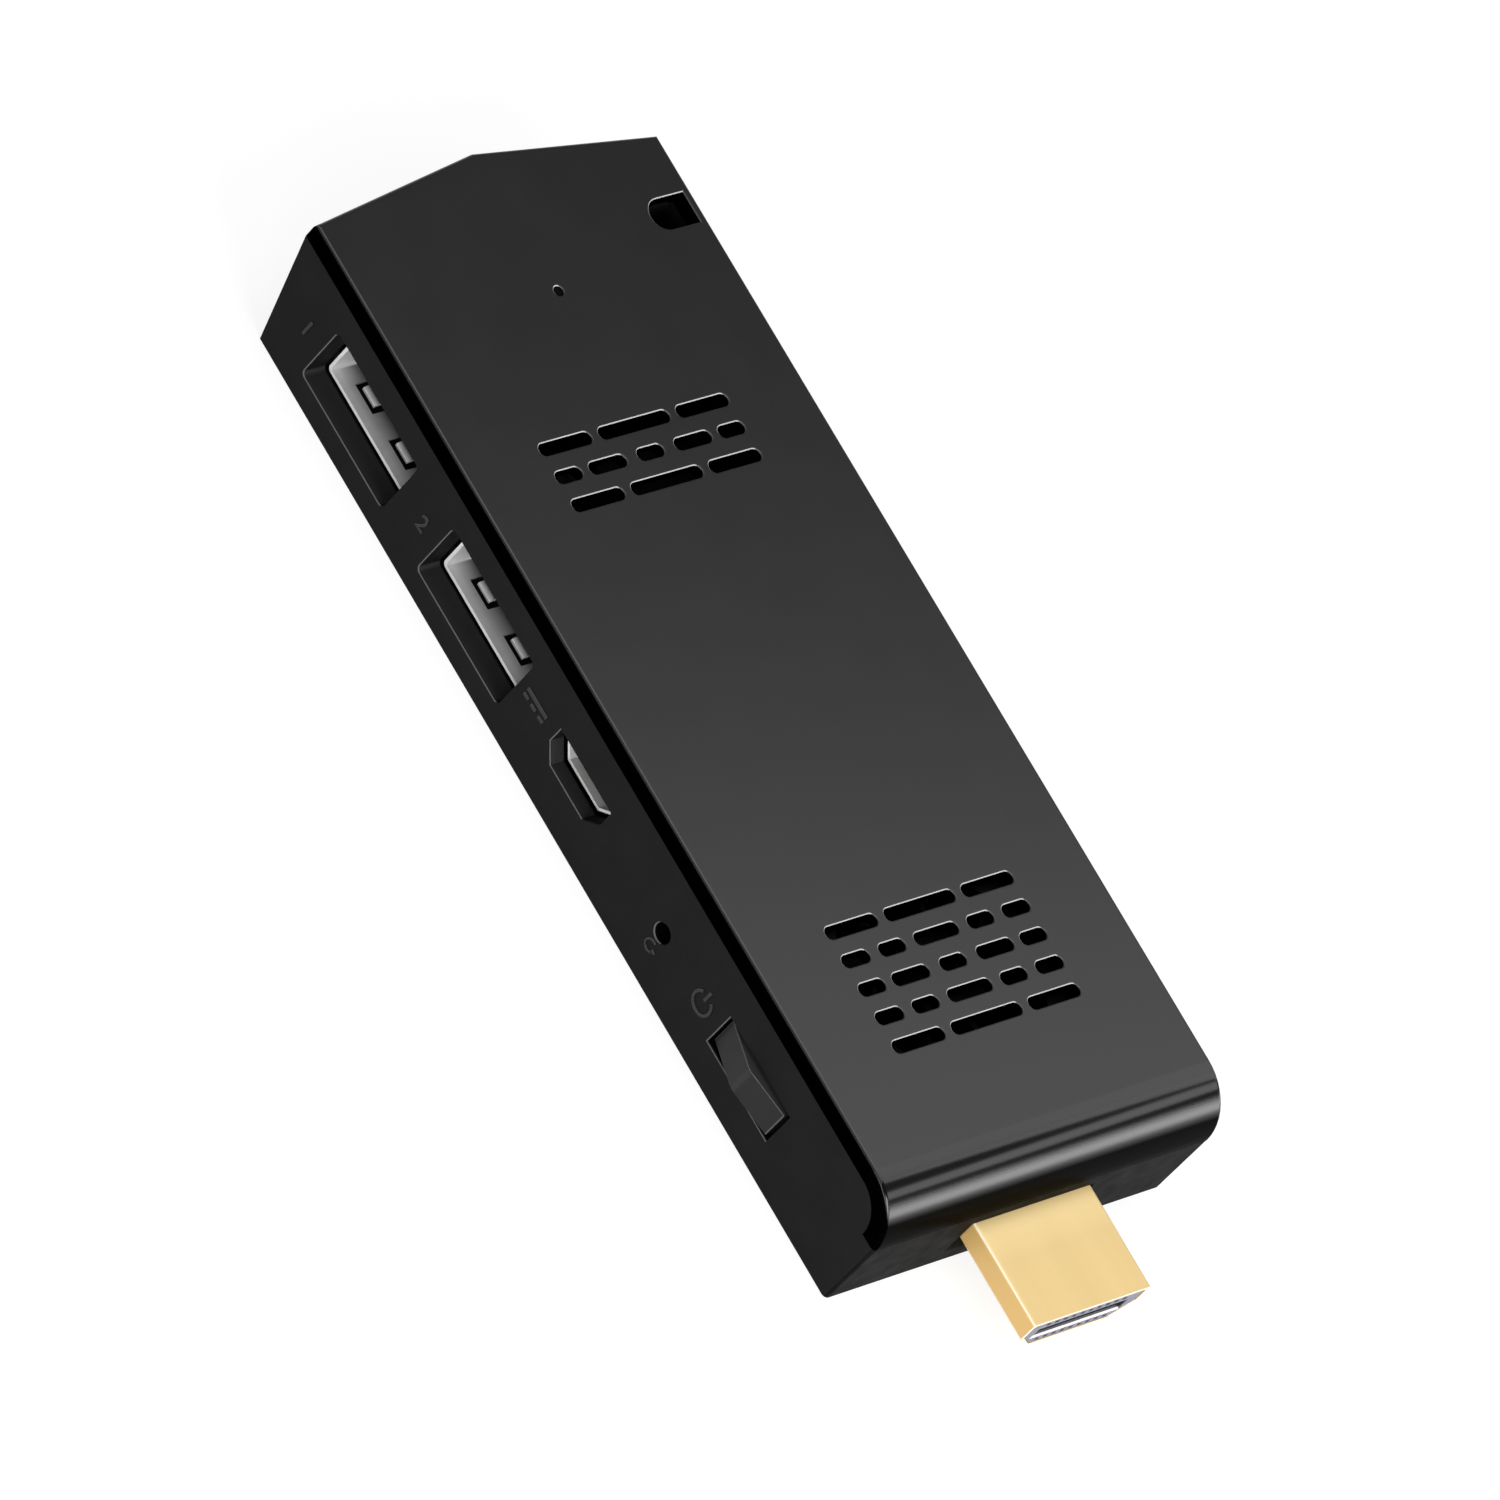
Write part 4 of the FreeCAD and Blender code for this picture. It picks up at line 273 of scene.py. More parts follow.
def stroke(shape, across, up, length, width):
    """A straight stroke of a mark, as a small bar on the wall."""
    made = bmesh.ops.create_cube(shape, size=1.0)["verts"]
    bmesh.ops.scale(shape, verts=made, vec=(length, MARK_RISE + MARK_ROOT, width))
    bmesh.ops.translate(shape, verts=made, vec=(across, MARK_MIDDLE, up))
    return made


def arc(shape, across, up, radius, width, start, sweep):
    """A curved stroke round a centre, from a start angle through a sweep, in degrees."""
    made = stroke(shape, across + radius, up, width, width)
    section = [corner for corner in made if corner.co.z > up]
    bmesh.ops.delete(shape, geom=[corner for corner in made if corner.co.z < up], context="VERTS")
    for corner in section:
        corner.co.z = up
    sides = [edge for edge in shape.edges if all(corner in section for corner in edge.verts)]
    faces = [face for face in shape.faces if all(corner in section for corner in face.verts)]
    middle = Vector((across, MARK_MIDDLE, up))
    bmesh.ops.rotate(shape, verts=section, cent=middle,
                     matrix=Matrix.Rotation(-math.radians(start), 3, "Y"))
    bmesh.ops.spin(shape, geom=section + sides + faces, cent=middle, axis=(0, -1, 0),
                   angle=math.radians(sweep), steps=int(sweep / ARC_STEP))


def mesh_of(shape, name):
    """The mesh of a finished shape."""
    mesh = bpy.data.meshes.new(name)
    shape.to_mesh(mesh)
    shape.free()
    return mesh


def fix_mark(mesh, name):
    """Fixes a mark's mesh to the case, in the case's own plastic."""
    mesh.materials.clear()
    mesh.materials.append(mark_plastic)
    mark = bpy.data.objects.new(name, mesh)
    bpy.context.scene.collection.objects.link(mark)
    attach(mark, "stick")


def finish_mark(shape, name):
    """Closes and softens a mark made of strokes, and fixes it to the case."""
    bmesh.ops.holes_fill(shape, edges=[edge for edge in shape.edges if edge.is_boundary])
    bmesh.ops.recalc_face_normals(shape, faces=shape.faces)
    sharp = [edge for edge in shape.edges if edge.calc_face_angle(0) > MARK_SHARP]
    bmesh.ops.bevel(shape, geom=sharp, offset=MARK_EDGE, segments=2, profile=0.5,
                    affect="EDGES", material=-1)
    fix_mark(mesh_of(shape, name), name)


inlet_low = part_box("micro_usb_shell")[0]
CURRENT_X = inlet_low.x - 3.45 * MM
CURRENT_LINE_Z = 6.62 * MM
CURRENT_DASH_Z = 5.92 * MM
CURRENT_LENGTH = 3.1 * MM
CURRENT_DASH = 0.75 * MM
CURRENT_DASH_LINE = 0.36 * MM
current_sign = bmesh.new()
stroke(current_sign, CURRENT_X, CURRENT_LINE_Z, CURRENT_LENGTH, MARK_LINE)
for step in (-1, 0, 1):
    stroke(current_sign, CURRENT_X + step * (CURRENT_LENGTH - CURRENT_DASH) / 2, CURRENT_DASH_Z,
           CURRENT_DASH, CURRENT_DASH_LINE)
finish_mark(current_sign, "current_sign")

POWER_X = rocker_low.x - 2.8 * MM
POWER_Z = 5.4 * MM
POWER_RADIUS = 1.1 * MM
POWER_GAP = 70
POWER_LINE = 0.3 * MM
POWER_BAR_LINE = 0.32 * MM
POWER_BAR_RISE = 0.935 * MM
POWER_BAR_LENGTH = 1.21 * MM
power_sign = bmesh.new()
stroke(power_sign, POWER_X, POWER_Z + POWER_BAR_RISE, POWER_BAR_LINE, POWER_BAR_LENGTH)
arc(power_sign, POWER_X, POWER_Z, POWER_RADIUS, POWER_LINE, 90 + POWER_GAP / 2, 360 - POWER_GAP)
finish_mark(power_sign, "power_sign")

RESET_Z = 3.55 * MM
RESET_RADIUS = 0.6 * MM
RESET_LINE = 0.22 * MM
RESET_START = 60
RESET_SWEEP = 280
RESET_HEAD = 0.32 * MM
RESET_HEAD_TURN = math.radians(80)
reset_end = math.radians(RESET_START + RESET_SWEEP)
reset_sign = bmesh.new()
arc(reset_sign, HOLE_X, RESET_Z, RESET_RADIUS, RESET_LINE, RESET_START, RESET_SWEEP)
head = bmesh.ops.create_cone(reset_sign, segments=3, radius1=RESET_HEAD, radius2=RESET_HEAD,
                             depth=MARK_RISE + MARK_ROOT, cap_ends=True)["verts"]
bmesh.ops.rotate(reset_sign, verts=head, cent=(0, 0, 0), matrix=Matrix.Rotation(math.pi / 2, 3, "X"))
bmesh.ops.rotate(reset_sign, verts=head, cent=(0, 0, 0),
                 matrix=Matrix.Rotation(RESET_HEAD_TURN, 3, "Y"))
bmesh.ops.translate(reset_sign, verts=head,
                    vec=(HOLE_X + RESET_RADIUS * math.cos(reset_end), MARK_MIDDLE,
                         RESET_Z + RESET_RADIUS * math.sin(reset_end)))
finish_mark(reset_sign, "reset_sign")

NUMBER_SIZE = 2.3 * MM
NUMBER_Z = 5.6 * MM
NUMBER_ASIDE = 1.6 * MM
for digit in ("1", "2"):
    shell_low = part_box(f"usb_shell_{digit}")[0]
    letter = bpy.data.curves.new(f"port_number_{digit}", "FONT")
    letter.body = digit
    letter.size = NUMBER_SIZE
    letter.align_x = "CENTER"
    letter.align_y = "CENTER"
    letter.extrude = (MARK_RISE + MARK_ROOT) / 2 - MARK_EDGE
    letter.bevel_depth = MARK_EDGE
    letter.resolution_u = 6
    flat = bpy.data.objects.new("flat_number", letter)
    number = bpy.data.meshes.new_from_object(flat)
    bpy.data.objects.remove(flat)
    number.transform(Matrix.Rotation(math.pi / 2, 4, "X"))
    number.transform(Matrix.Translation((shell_low.x - NUMBER_ASIDE, MARK_MIDDLE, NUMBER_Z)))
    number.name = f"port_number_{digit}"
    fix_mark(number, f"port_number_{digit}")

# Top cover: a satin plate whose side band and bent-down nose are polished deep black. One
# moulding, so the same plastic changes from a fine texture to a mirror at the bend.
COVER_SATIN = (0.0088, 0.0088, 0.009)
COVER_SATIN_WORN = (0.0102, 0.0102, 0.0104)
COVER_POLISHED = (0.0006, 0.0006, 0.0006)
HOLE_RIM_LIGHTER = (0.04, 0.04, 0.04)
HOLE_RIM_HIGHLIGHT = (0.52, 0.52, 0.52)
HOLE_RIM_GLOSS = 0.4
WHITE = (1, 1, 1)
cover_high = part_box("top_cover")[1]
NOSE_START = cover_high.x - 5.35 * MM
NOSE_BLEND = 0.2 * MM
NOSE_TURNED = (0.2, 0.23)
NOSE_BENT = (0.51, 0.66)
NOSE_GLOSS = (0.125, 0.279)
PLATE_GLOSS = (0.333, 0.348)
PLATE_SIDE = (0.67, 0.57)
NOSE_SIDE = (0.66, 0.52)
RIM_LIMIT = cover_high.y - 0.7 * MM
RIM_STARTS = (0.98, 0.9)
RIM_ENDS = (0.1, 0.3)


def blended(factor, first, second):
    """A number between two numbers, each plain or a node's output."""
    return node(factor.id_data, "ShaderNodeMix", {0: factor, 2: first, 3: second}).outputs[0]


cover_plastic, shader, place = new_finish("cover_plastic")
facing, where = surface(place)
on_nose = past(where["X"], NOSE_START + NOSE_BLEND, NOSE_BLEND)
bent = all_of(on_nose, ramp(facing["X"], *NOSE_TURNED))
upright = blended(on_nose, ramp(facing["Z"], *PLATE_SIDE), ramp(facing["Z"], *NOSE_SIDE))
rim = all_of(ramp(facing["Z"], *RIM_STARTS),
             ramp(facing["Z"], *RIM_ENDS),
             before(maths("ABSOLUTE", where["Y"]), RIM_LIMIT, 0.1 * MM),
             before(where["X"], NOSE_START - NOSE_BLEND, NOSE_BLEND))
plate = mixed(between(speckle(place, 6 * MM), 0, 1), COVER_SATIN, COVER_SATIN_WORN)
dark = mixed(upright, mixed(bent, plate, COVER_POLISHED), COVER_POLISHED)
# Painted highlight: the rims of the cover's holes are painted lighter than the plate, and light grey
# where they face the lamps.
wear_and_highlight = mixed(ramp(maths("ADD", facing["X"], facing["Y"]), *TO_LIGHT), HOLE_RIM_LIGHTER, HOLE_RIM_HIGHLIGHT)
plate_gloss = between(speckle(place, 6 * MM), *PLATE_GLOSS)
nose_gloss = between(facing["X"], *NOSE_GLOSS, *NOSE_BENT, kind="SMOOTHSTEP")
# Painted dark reflection: the upright band and the lower nose are made black metal with a darkened
# specular tint, so they show almost none of the bright floor.
reflection_blacked = all_of(upright, blended(rim, 1.0, 0.0))
nose_reflection_dimmer = all_of(on_nose, between(facing["Z"], 0.42, 0.69, start=0.0, end=0.545))
feed(shader, {"Base Color": mixed(rim, dark, wear_and_highlight),
              "Roughness": blended(rim, blended(bent, plate_gloss, nose_gloss), HOLE_RIM_GLOSS),
              "Metallic": reflection_blacked,
              "Specular Tint": mixed(reflection_blacked, WHITE, nose_reflection_dimmer),
              "Specular IOR Level": 0.75})
press(shader, all_of(ramp(facing["Z"], *LEVEL), speckle(place, 0.1 * MM, detail=2.0)), 0.0008 * MM)
dress(cover_plastic, "top_cover")

# Plug shell: folded brass sheet, gold-plated. Drawn smooth, with faint lines from the rolling
# along its length, and held to the board by two soldered ears.
GOLD = (0.86, 0.63, 0.275)
GOLD_DEEP = (0.83, 0.6, 0.26)
GOLD_ROOT_LIGHTENED = (1.0, 0.76, 0.36)
GOLD_SIDE_SHADE = (0.78, 0.5, 0.175)
GOLD_EDGE_HIGHLIGHT = (1.0, 0.93, 0.72)
ROOT_LENGTH = 4 * MM
ROLLED_LINES = (14, 1, 1)
SIDE_ON = (-0.8, -0.95)
END_ON = (0.8, 0.95)
FOLD_OUTWARD = (-0.45, -0.62)
FOLD_UPWARD = (0.45, 0.62)
plug_gold, shader, place = new_finish("plug_gold")
facing, where = surface(place)
plating = mixed(between(speckle(place, 2.5 * MM, ROLLED_LINES), 0, 1), GOLD, GOLD_DEEP)
# Painted light: the gold is painted brighter near the case, to offset the shade that the cover's nose
# casts there.
plating = mixed(before(where["X"], case_high.x, ROOT_LENGTH), plating, GOLD_ROOT_LIGHTENED)
# Painted shade: the long side is painted a deeper, darker gold.
plating = mixed(ramp(facing["Y"], *SIDE_ON), plating, GOLD_SIDE_SHADE)
# Painted highlight: the fold along the top and the front ends are painted pale and less metallic.
fold = all_of(ramp(facing["Y"], *FOLD_OUTWARD), ramp(facing["Z"], *FOLD_UPWARD))
pale_highlight = maths("MAXIMUM", fold, ramp(facing["X"], *END_ON))
feed(shader, {"Base Color": mixed(pale_highlight, plating, GOLD_EDGE_HIGHLIGHT),
              "Metallic": blended(pale_highlight, 0.2, 0.0),
              "Roughness": between(speckle(place, 1.2 * MM, ROLLED_LINES), 0.33, 0.38)})
press(shader, speckle(place, 0.05 * MM, ROLLED_LINES, detail=2.0), 0.0002 * MM)
dress(plug_gold, "hdmi_shell")

# Plug insert: moulded lilac-grey block with a window over each contact, and a lead-in below its
# slot painted near white as a highlight. Glass-filled nylon, pushed into the shell from behind.
INSERT_LILAC = (0.17, 0.165, 0.23)
INSERT_LILAC_PALE = (0.22, 0.215, 0.28)
INSERT_LEAD_HIGHLIGHT = (0.95, 0.95, 0.97)
INSERT_DEEP_SHADE = (0.02, 0.02, 0.025)
FRONT_DEPTH = 0.12 * MM
LEAD_DEPTH = 0.13 * MM
insert_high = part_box("hdmi_insulator")[1]
plug_insert, shader, place = new_finish("plug_insert")
facing, where = surface(place)
nylon = mixed(between(speckle(place, 1.5 * MM), 0, 1), INSERT_LILAC, INSERT_LILAC_PALE)
# Painted shade: everything behind the front face is painted near black.
nylon = mixed(before(where["X"], insert_high.x - FRONT_DEPTH, 0.08 * MM), nylon, INSERT_DEEP_SHADE)
# Painted highlight: the lead-in's slope is painted near white.
lit_lead_in = all_of(ramp(facing["X"], *SQUARE),
                 ramp(facing["Z"], *SQUARE),
                 past(where["X"], insert_high.x - LEAD_DEPTH, 0.04 * MM))
feed(shader, {"Base Color": mixed(lit_lead_in, nylon, INSERT_LEAD_HIGHLIGHT),
              "Roughness": between(speckle(place, 0.7 * MM), 0.4, 0.5)})
press(shader, speckle(place, 0.08 * MM, detail=2.0), 0.002 * MM)
dress(plug_insert, "hdmi_insulator")


# Contacts: stamped copper strips with hard gold on the faces that rub. They lie in the inserts
# and tongues of the plug and the sockets.
def finish(name, colour, wear_and_highlight, gloss, grain, depth, patch, metal=0.0, level=0.5, stretch=(1, 1, 1)):
    """A finish that varies in soft patches of colour and gloss, over a fine grain."""
    material, shader, place = new_finish(name)
    patches = between(speckle(place, patch, stretch), 0, 1)
    feed(shader, {"Base Color": mixed(patches, colour, wear_and_highlight),
                  "Roughness": between(speckle(place, patch / 2, stretch), *gloss),
                  "Metallic": metal,
                  "Specular IOR Level": level})
    press(shader, speckle(place, grain, stretch, detail=2.0), depth)
    return material


contact_gold = finish("contact_gold", colour=(0.84, 0.6, 0.26), wear_and_highlight=(0.78, 0.54, 0.22),
                      gloss=(0.22, 0.32), grain=0.04 * MM, depth=0.0006 * MM, patch=0.8 * MM,
                      metal=1.0, stretch=(1, 8, 1))
dress(contact_gold, "hdmi_contacts_upper", "hdmi_contacts_lower", "usb_contacts_1", "usb_contacts_2",
      "micro_usb_contacts")

# Socket shells: nickel-plated steel sheet, stamped and folded, with brushed lines across the
# mouth, and the top under the cover painted black as shade. Soldered to the board by their side tabs.
TOP_SHADE_BLACK = (0.003, 0.003, 0.003)
STEEL_DEEP_SHADE = (0.12, 0.12, 0.12)
STEEL_EDGE_HIGHLIGHT = (1.0, 1.0, 1.0)
BRUSHED = (1, 9, 1)
FLOOR_TOP = 0.33 * MM
FLOOR_DARK = 2.9 * MM
FLOOR_FADE = 2.3 * MM
LEAF_LOW = 0.45 * MM
LEAF_HIGH = 0.9 * MM
LEAF_DARK = 2.5 * MM
LEAF_FADE = 0.47 * MM
LEAF_UPWARD = (0.3, 0.6)
BEND_TOP = 1.0 * MM
CUT_FROM = 0.2 * MM
SHADED_TOP_DEPTH = 0.05 * MM


def sheet_steel(name, shell, bright, dull, edge=STEEL_EDGE_HIGHLIGHT):
    """Bright sheet with painted shade deep inside and on top, and painted highlights on its cut mouth
    and bend.
    """
    low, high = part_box(shell)
    material, shader, place = new_finish(name)
    facing, where = surface(place)
    sheet = mixed(between(speckle(place, 1.2 * MM, BRUSHED), 0, 1), bright, dull)
    # Painted shade: the floor and the spring leaves are painted darker deep inside the mouth.
    floor_inside = all_of(past(where["Y"], low.y + FLOOR_DARK, FLOOR_FADE),
                          before(where["Z"], low.z + FLOOR_TOP, 0.05 * MM))
    leaf_inside = all_of(past(where["Y"], low.y + LEAF_DARK, LEAF_FADE),
                         past(where["Z"], low.z + LEAF_LOW, 0.07 * MM),
                         before(where["Z"], low.z + LEAF_HIGH, 0.1 * MM),
                         ramp(facing["Z"], *LEAF_UPWARD))
    sheet = mixed(maths("ADD", floor_inside, leaf_inside), sheet, STEEL_DEEP_SHADE)
    # Painted highlight: the bend between floor and side wall and the cut mouth are painted pale and less
    # metallic.
    bend = all_of(ramp(facing["X"], *LEANING),
                  ramp(facing["Z"], *LEANING),
                  before(where["Z"], low.z + BEND_TOP, 0.2 * MM))
    cut = all_of(ramp(facing["Y"], *SIDE_ON),
                 before(where["Y"], low.y, 0.1 * MM),
                 past(where["Z"], low.z + CUT_FROM, 0.03 * MM))
    sheet = mixed(cut, mixed(bend, sheet, edge), edge)
    # Painted shade: the top of the shell, under the cover, is painted black.
    shaded_top = all_of(past(where["Z"], high.z - SHADED_TOP_DEPTH, 0.05 * MM), ramp(facing["Z"], *SQUARE))
    feed(shader, {"Base Color": mixed(shaded_top, sheet, TOP_SHADE_BLACK),
                  "Metallic": blended(shaded_top, blended(cut, 0.1, 0.0), 1.0),
                  "Roughness": between(speckle(place, 0.6 * MM, BRUSHED), 0.3, 0.38)})
    press(shader, speckle(place, 0.05 * MM, BRUSHED, detail=2.0), 0.0006 * MM)
    return material


socket_steel = sheet_steel("socket_steel", "usb_shell_1", bright=(0.97, 0.97, 0.98),
                           dull=(0.9, 0.9, 0.91))
dress(socket_steel, "usb_shell_1", "usb_shell_2")
inlet_steel = sheet_steel("inlet_steel", "micro_usb_shell", bright=(0.7, 0.7, 0.7),
                          dull=(0.62, 0.62, 0.62))
dress(inlet_steel, "micro_usb_shell")

# Socket tongues and switch blocks: black glass-filled mouldings. They carry the contacts, and
# the two switches' working parts.
socket_insert = finish("socket_insert", colour=(0.012, 0.012, 0.013), wear_and_highlight=(0.018, 0.018, 0.019),
                       gloss=(0.45, 0.55), grain=0.08 * MM, depth=0.002 * MM, patch=1.5 * MM, level=0.3)
dress(socket_insert, "usb_tongue_1", "usb_tongue_2", "micro_usb_tongue", "reset_switch", "power_switch")

# Power rocker and reset plunger: black mouldings with a finer satin than the case's, because
# fingers and pins slide on them. The rocker tips on its steel pin.
ROCKER_BLACK = (0.0105, 0.0105, 0.0108)
ROCKER_BLACK_WORN = (0.013, 0.013, 0.0132)
ROCKER_GABLE_LIT = (0.04, 0.04, 0.04)
ROCKER_RIDGE_HIGHLIGHT = (0.024, 0.024, 0.024)
ROCKER_EDGE_HIGHLIGHT = (0.11, 0.11, 0.11)
RIDGE_ROUND = 0.45 * MM
RIDGE_REACH = 0.1 * MM
ROCKER_EDGE = 0.09 * MM
ROCKER_FRONT = case_low.y + 0.7 * MM
ROCKER_SHARP = math.radians(35)
ROCKER_FLAT = math.radians(1)
WELD = 0.001 * MM
RIDGE_OUTWARD = (-0.94, -0.98)
RIDGE_LEFT = (-0.24, -0.1)
RIDGE_RIGHT = (0.13, 0.05)
CORNER_STARTS = (-0.94, -0.88)
CORNER_ENDS = (-0.2, -0.4)
rocker_plastic, shader, place = new_finish("rocker_plastic")
facing, where = surface(place)
tone = mixed(between(speckle(place, 4 * MM), 0, 1), ROCKER_BLACK, ROCKER_BLACK_WORN)
# Painted light: the faces that point up are painted lighter.
tone = mixed(ramp(facing["Z"], *LEVEL), tone, ROCKER_GABLE_LIT)
# Painted highlight: the rounded ridge is painted lighter.
on_ridge = all_of(ramp(facing["Y"], *RIDGE_OUTWARD),
                  ramp(facing["X"], *RIDGE_LEFT),
                  ramp(facing["X"], *RIDGE_RIGHT))
tone = mixed(on_ridge, tone, ROCKER_RIDGE_HIGHLIGHT)
# Painted highlight: the small bevels round the front are painted light grey.
on_corner = all_of(ramp(facing["Y"], *CORNER_STARTS), ramp(facing["Y"], *CORNER_ENDS))
feed(shader, {"Base Color": mixed(on_corner, tone, ROCKER_EDGE_HIGHLIGHT),
              "Roughness": between(speckle(place, 2 * MM), 0.42, 0.52),
              "Specular IOR Level": 0.2})
press(shader, speckle(place, 0.1 * MM, detail=2.0), 0.0012 * MM)
dress(rocker_plastic, "power_rocker", "reset_button")

rocker = bmesh.new()
rocker.from_mesh(frame["nodes"]["power_rocker"].data)
bmesh.ops.remove_doubles(rocker, verts=rocker.verts, dist=WELD)
bmesh.ops.dissolve_limit(rocker, angle_limit=ROCKER_FLAT, verts=rocker.verts, edges=rocker.edges)
ridge = [edge for edge in rocker.edges
         if all(end.co.y < rocker_low.y + RIDGE_REACH for end in edge.verts)]
bmesh.ops.bevel(rocker, geom=ridge, offset=RIDGE_ROUND, segments=6, profile=0.5, affect="EDGES",
                material=-1)
corners = [edge for edge in rocker.edges if edge.calc_face_angle(0) > ROCKER_SHARP
           and all(end.co.y < ROCKER_FRONT for end in edge.verts)]
bmesh.ops.bevel(rocker, geom=corners, offset=ROCKER_EDGE, segments=3, profile=0.5, affect="EDGES",
                material=-1)
rocker_mesh = mesh_of(rocker, "rocker_cap")
rocker_mesh.materials.clear()
rocker_mesh.materials.append(rocker_plastic)
rocker_cap = bpy.data.objects.new("rocker_cap", rocker_mesh)
bpy.context.scene.collection.objects.link(rocker_cap)
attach(rocker_cap, "power_rocker")
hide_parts("power_rocker")

# Screws and the rocker's pin: blackened steel, turned and rolled. The case screws drive up
# through the tray and the board into the cover's posts.
screw_steel = finish("screw_steel", colour=(0.1, 0.1, 0.105), wear_and_highlight=(0.16, 0.16, 0.16),
                     gloss=(0.35, 0.5), grain=0.06 * MM, depth=0.001 * MM, patch=0.6 * MM, metal=1.0)
dress(screw_steel, "case_screws", "rocker_pin", "heat_sink_screws", "fan_screws")

# Main board: glass-fibre laminate under a black solder mask, through which the copper tracks
# show as faint raised lines.
MASK_BLACK = (0.004, 0.009, 0.007)
MASK_BLACK_PALE = (0.006, 0.012, 0.009)
TRACK_GREEN = (0.012, 0.022, 0.016)
board_laminate, shader, place = new_finish("board_laminate")
tracks = node(place.id_data, "ShaderNodeTexBrick",
              {"Vector": place.outputs["Object"], "Scale": 1 / (9 * MM), "Mortar Size": 0.03,
               "Brick Width": 1.3, "Row Height": 0.14, "Bias": -0.4}, offset=0.37)
mask = mixed(between(speckle(place, 3 * MM), 0, 1), MASK_BLACK, MASK_BLACK_PALE)
feed(shader, {"Base Color": mixed(tracks.outputs["Fac"], mask, TRACK_GREEN),
              "Roughness": between(speckle(place, 1 * MM), 0.45, 0.55),
              "Specular IOR Level": 0.1})
press(shader, tracks.outputs["Fac"], 0.03 * MM)
dress(board_laminate, "main_board")

# Chips and coils: black moulded resin, fine and dull, round the silicon or the winding. They are
# soldered flat to the board.
chip_resin = finish("chip_resin", colour=(0.012, 0.012, 0.013), wear_and_highlight=(0.02, 0.02, 0.021),
                    gloss=(0.5, 0.62), grain=0.06 * MM, depth=0.002 * MM, patch=0.8 * MM, level=0.35)
dress(chip_resin, "processor_package", "memory_chips", "storage_chip", "power_controller",
      "power_inductors")

# Shielded parts: the radio module's shield drawn near black as painted shade, and the card socket
# and the crystal in folded tinned steel, drawn dark as painted shade.
# Painted shade: the radio module's shield is drawn near black.
radio_shade_black = finish("radio_shade_black", colour=(0.004, 0.004, 0.0042), wear_and_highlight=(0.007, 0.007, 0.0073),
                       gloss=(0.5, 0.6), grain=0.3 * MM, depth=0.004 * MM, patch=2 * MM, level=0.06)
dress(radio_shade_black, "wifi_module")
# Painted shade: the card socket's and the crystal's tinned steel is drawn dark grey.
shield_steel = sheet_steel("shield_steel", "card_socket", bright=(0.14, 0.14, 0.138),
                           dull=(0.11, 0.11, 0.11), edge=(0.3, 0.3, 0.3))
dress(shield_steel, "card_socket", "crystal")

# Small ceramics: the antenna block and the capacitors. Fired from pressed powder, tinned at their
# ends and soldered to the board.
ceramic = finish("ceramic", colour=(0.16, 0.13, 0.1), wear_and_highlight=(0.22, 0.18, 0.14), gloss=(0.4, 0.5),
                 grain=0.08 * MM, depth=0.001 * MM, patch=0.5 * MM)
dress(ceramic, "antenna", "capacitors")

# Heat sink and its pad: extruded aluminium, black anodised, on a soft silicone pad over the
# processor's die.
sink_aluminium = finish("sink_aluminium", colour=(0.02, 0.02, 0.021), wear_and_highlight=(0.032, 0.032, 0.033),
                        gloss=(0.4, 0.5), grain=0.05 * MM, depth=0.001 * MM, patch=2 * MM, metal=0.4,
                        stretch=(10, 1, 1))
dress(sink_aluminium, "heat_sink")
pad_rubber = finish("pad_rubber", colour=(0.42, 0.44, 0.5), wear_and_highlight=(0.5, 0.52, 0.58), gloss=(0.6, 0.75),
                    grain=0.15 * MM, depth=0.01 * MM, patch=1 * MM)
dress(pad_rubber, "thermal_pad")

# Fan: black glass-filled frame and rotor, a copper winding round the bearing post, and a flat
# rubber lead into a white nylon socket.
fan_plastic = finish("fan_plastic", colour=(0.003, 0.003, 0.0032), wear_and_highlight=(0.005, 0.005, 0.0052),
                     gloss=(0.5, 0.6), grain=0.1 * MM, depth=0.002 * MM, patch=2 * MM, level=0.06)
dress(fan_plastic, "fan_frame", "fan_rotor")
coil_copper = finish("coil_copper", colour=(0.5, 0.2, 0.08), wear_and_highlight=(0.62, 0.28, 0.12), gloss=(0.25, 0.4),
                     grain=0.08 * MM, depth=0.01 * MM, patch=0.3 * MM, metal=1.0, stretch=(6, 6, 1))
dress(coil_copper, "fan_stator")
lead_rubber = finish("lead_rubber", colour=(0.012, 0.012, 0.012), wear_and_highlight=(0.02, 0.02, 0.02),
                     gloss=(0.5, 0.6), grain=0.1 * MM, depth=0.004 * MM, patch=1 * MM, stretch=(1, 8, 1))
dress(lead_rubber, "fan_lead")
socket_white = finish("socket_white", colour=(0.62, 0.6, 0.54), wear_and_highlight=(0.7, 0.68, 0.62),
                      gloss=(0.45, 0.55), grain=0.1 * MM, depth=0.002 * MM, patch=1 * MM)
dress(socket_white, "fan_socket")

# Lamp and light pipe: a clear-capped lamp on the board, and a clear acrylic rod that carries its
# light to the small hole in the cover.
lamp_resin = finish("lamp_resin", colour=(0.7, 0.7, 0.62), wear_and_highlight=(0.78, 0.77, 0.7), gloss=(0.2, 0.3),
                    grain=0.08 * MM, depth=0.001 * MM, patch=0.5 * MM)
dress(lamp_resin, "status_lamp")
# Painted shade: the rod is drawn near black and barely reflecting, for the dark seen through the cover's
# small hole.
pipe_clear = finish("pipe_clear", colour=(0.002, 0.002, 0.0022), wear_and_highlight=(0.004, 0.004, 0.0044),
                    gloss=(0.3, 0.4), grain=0.1 * MM, depth=0.0006 * MM, patch=0.6 * MM, level=0.05)
dress(pipe_clear, "light_pipe")

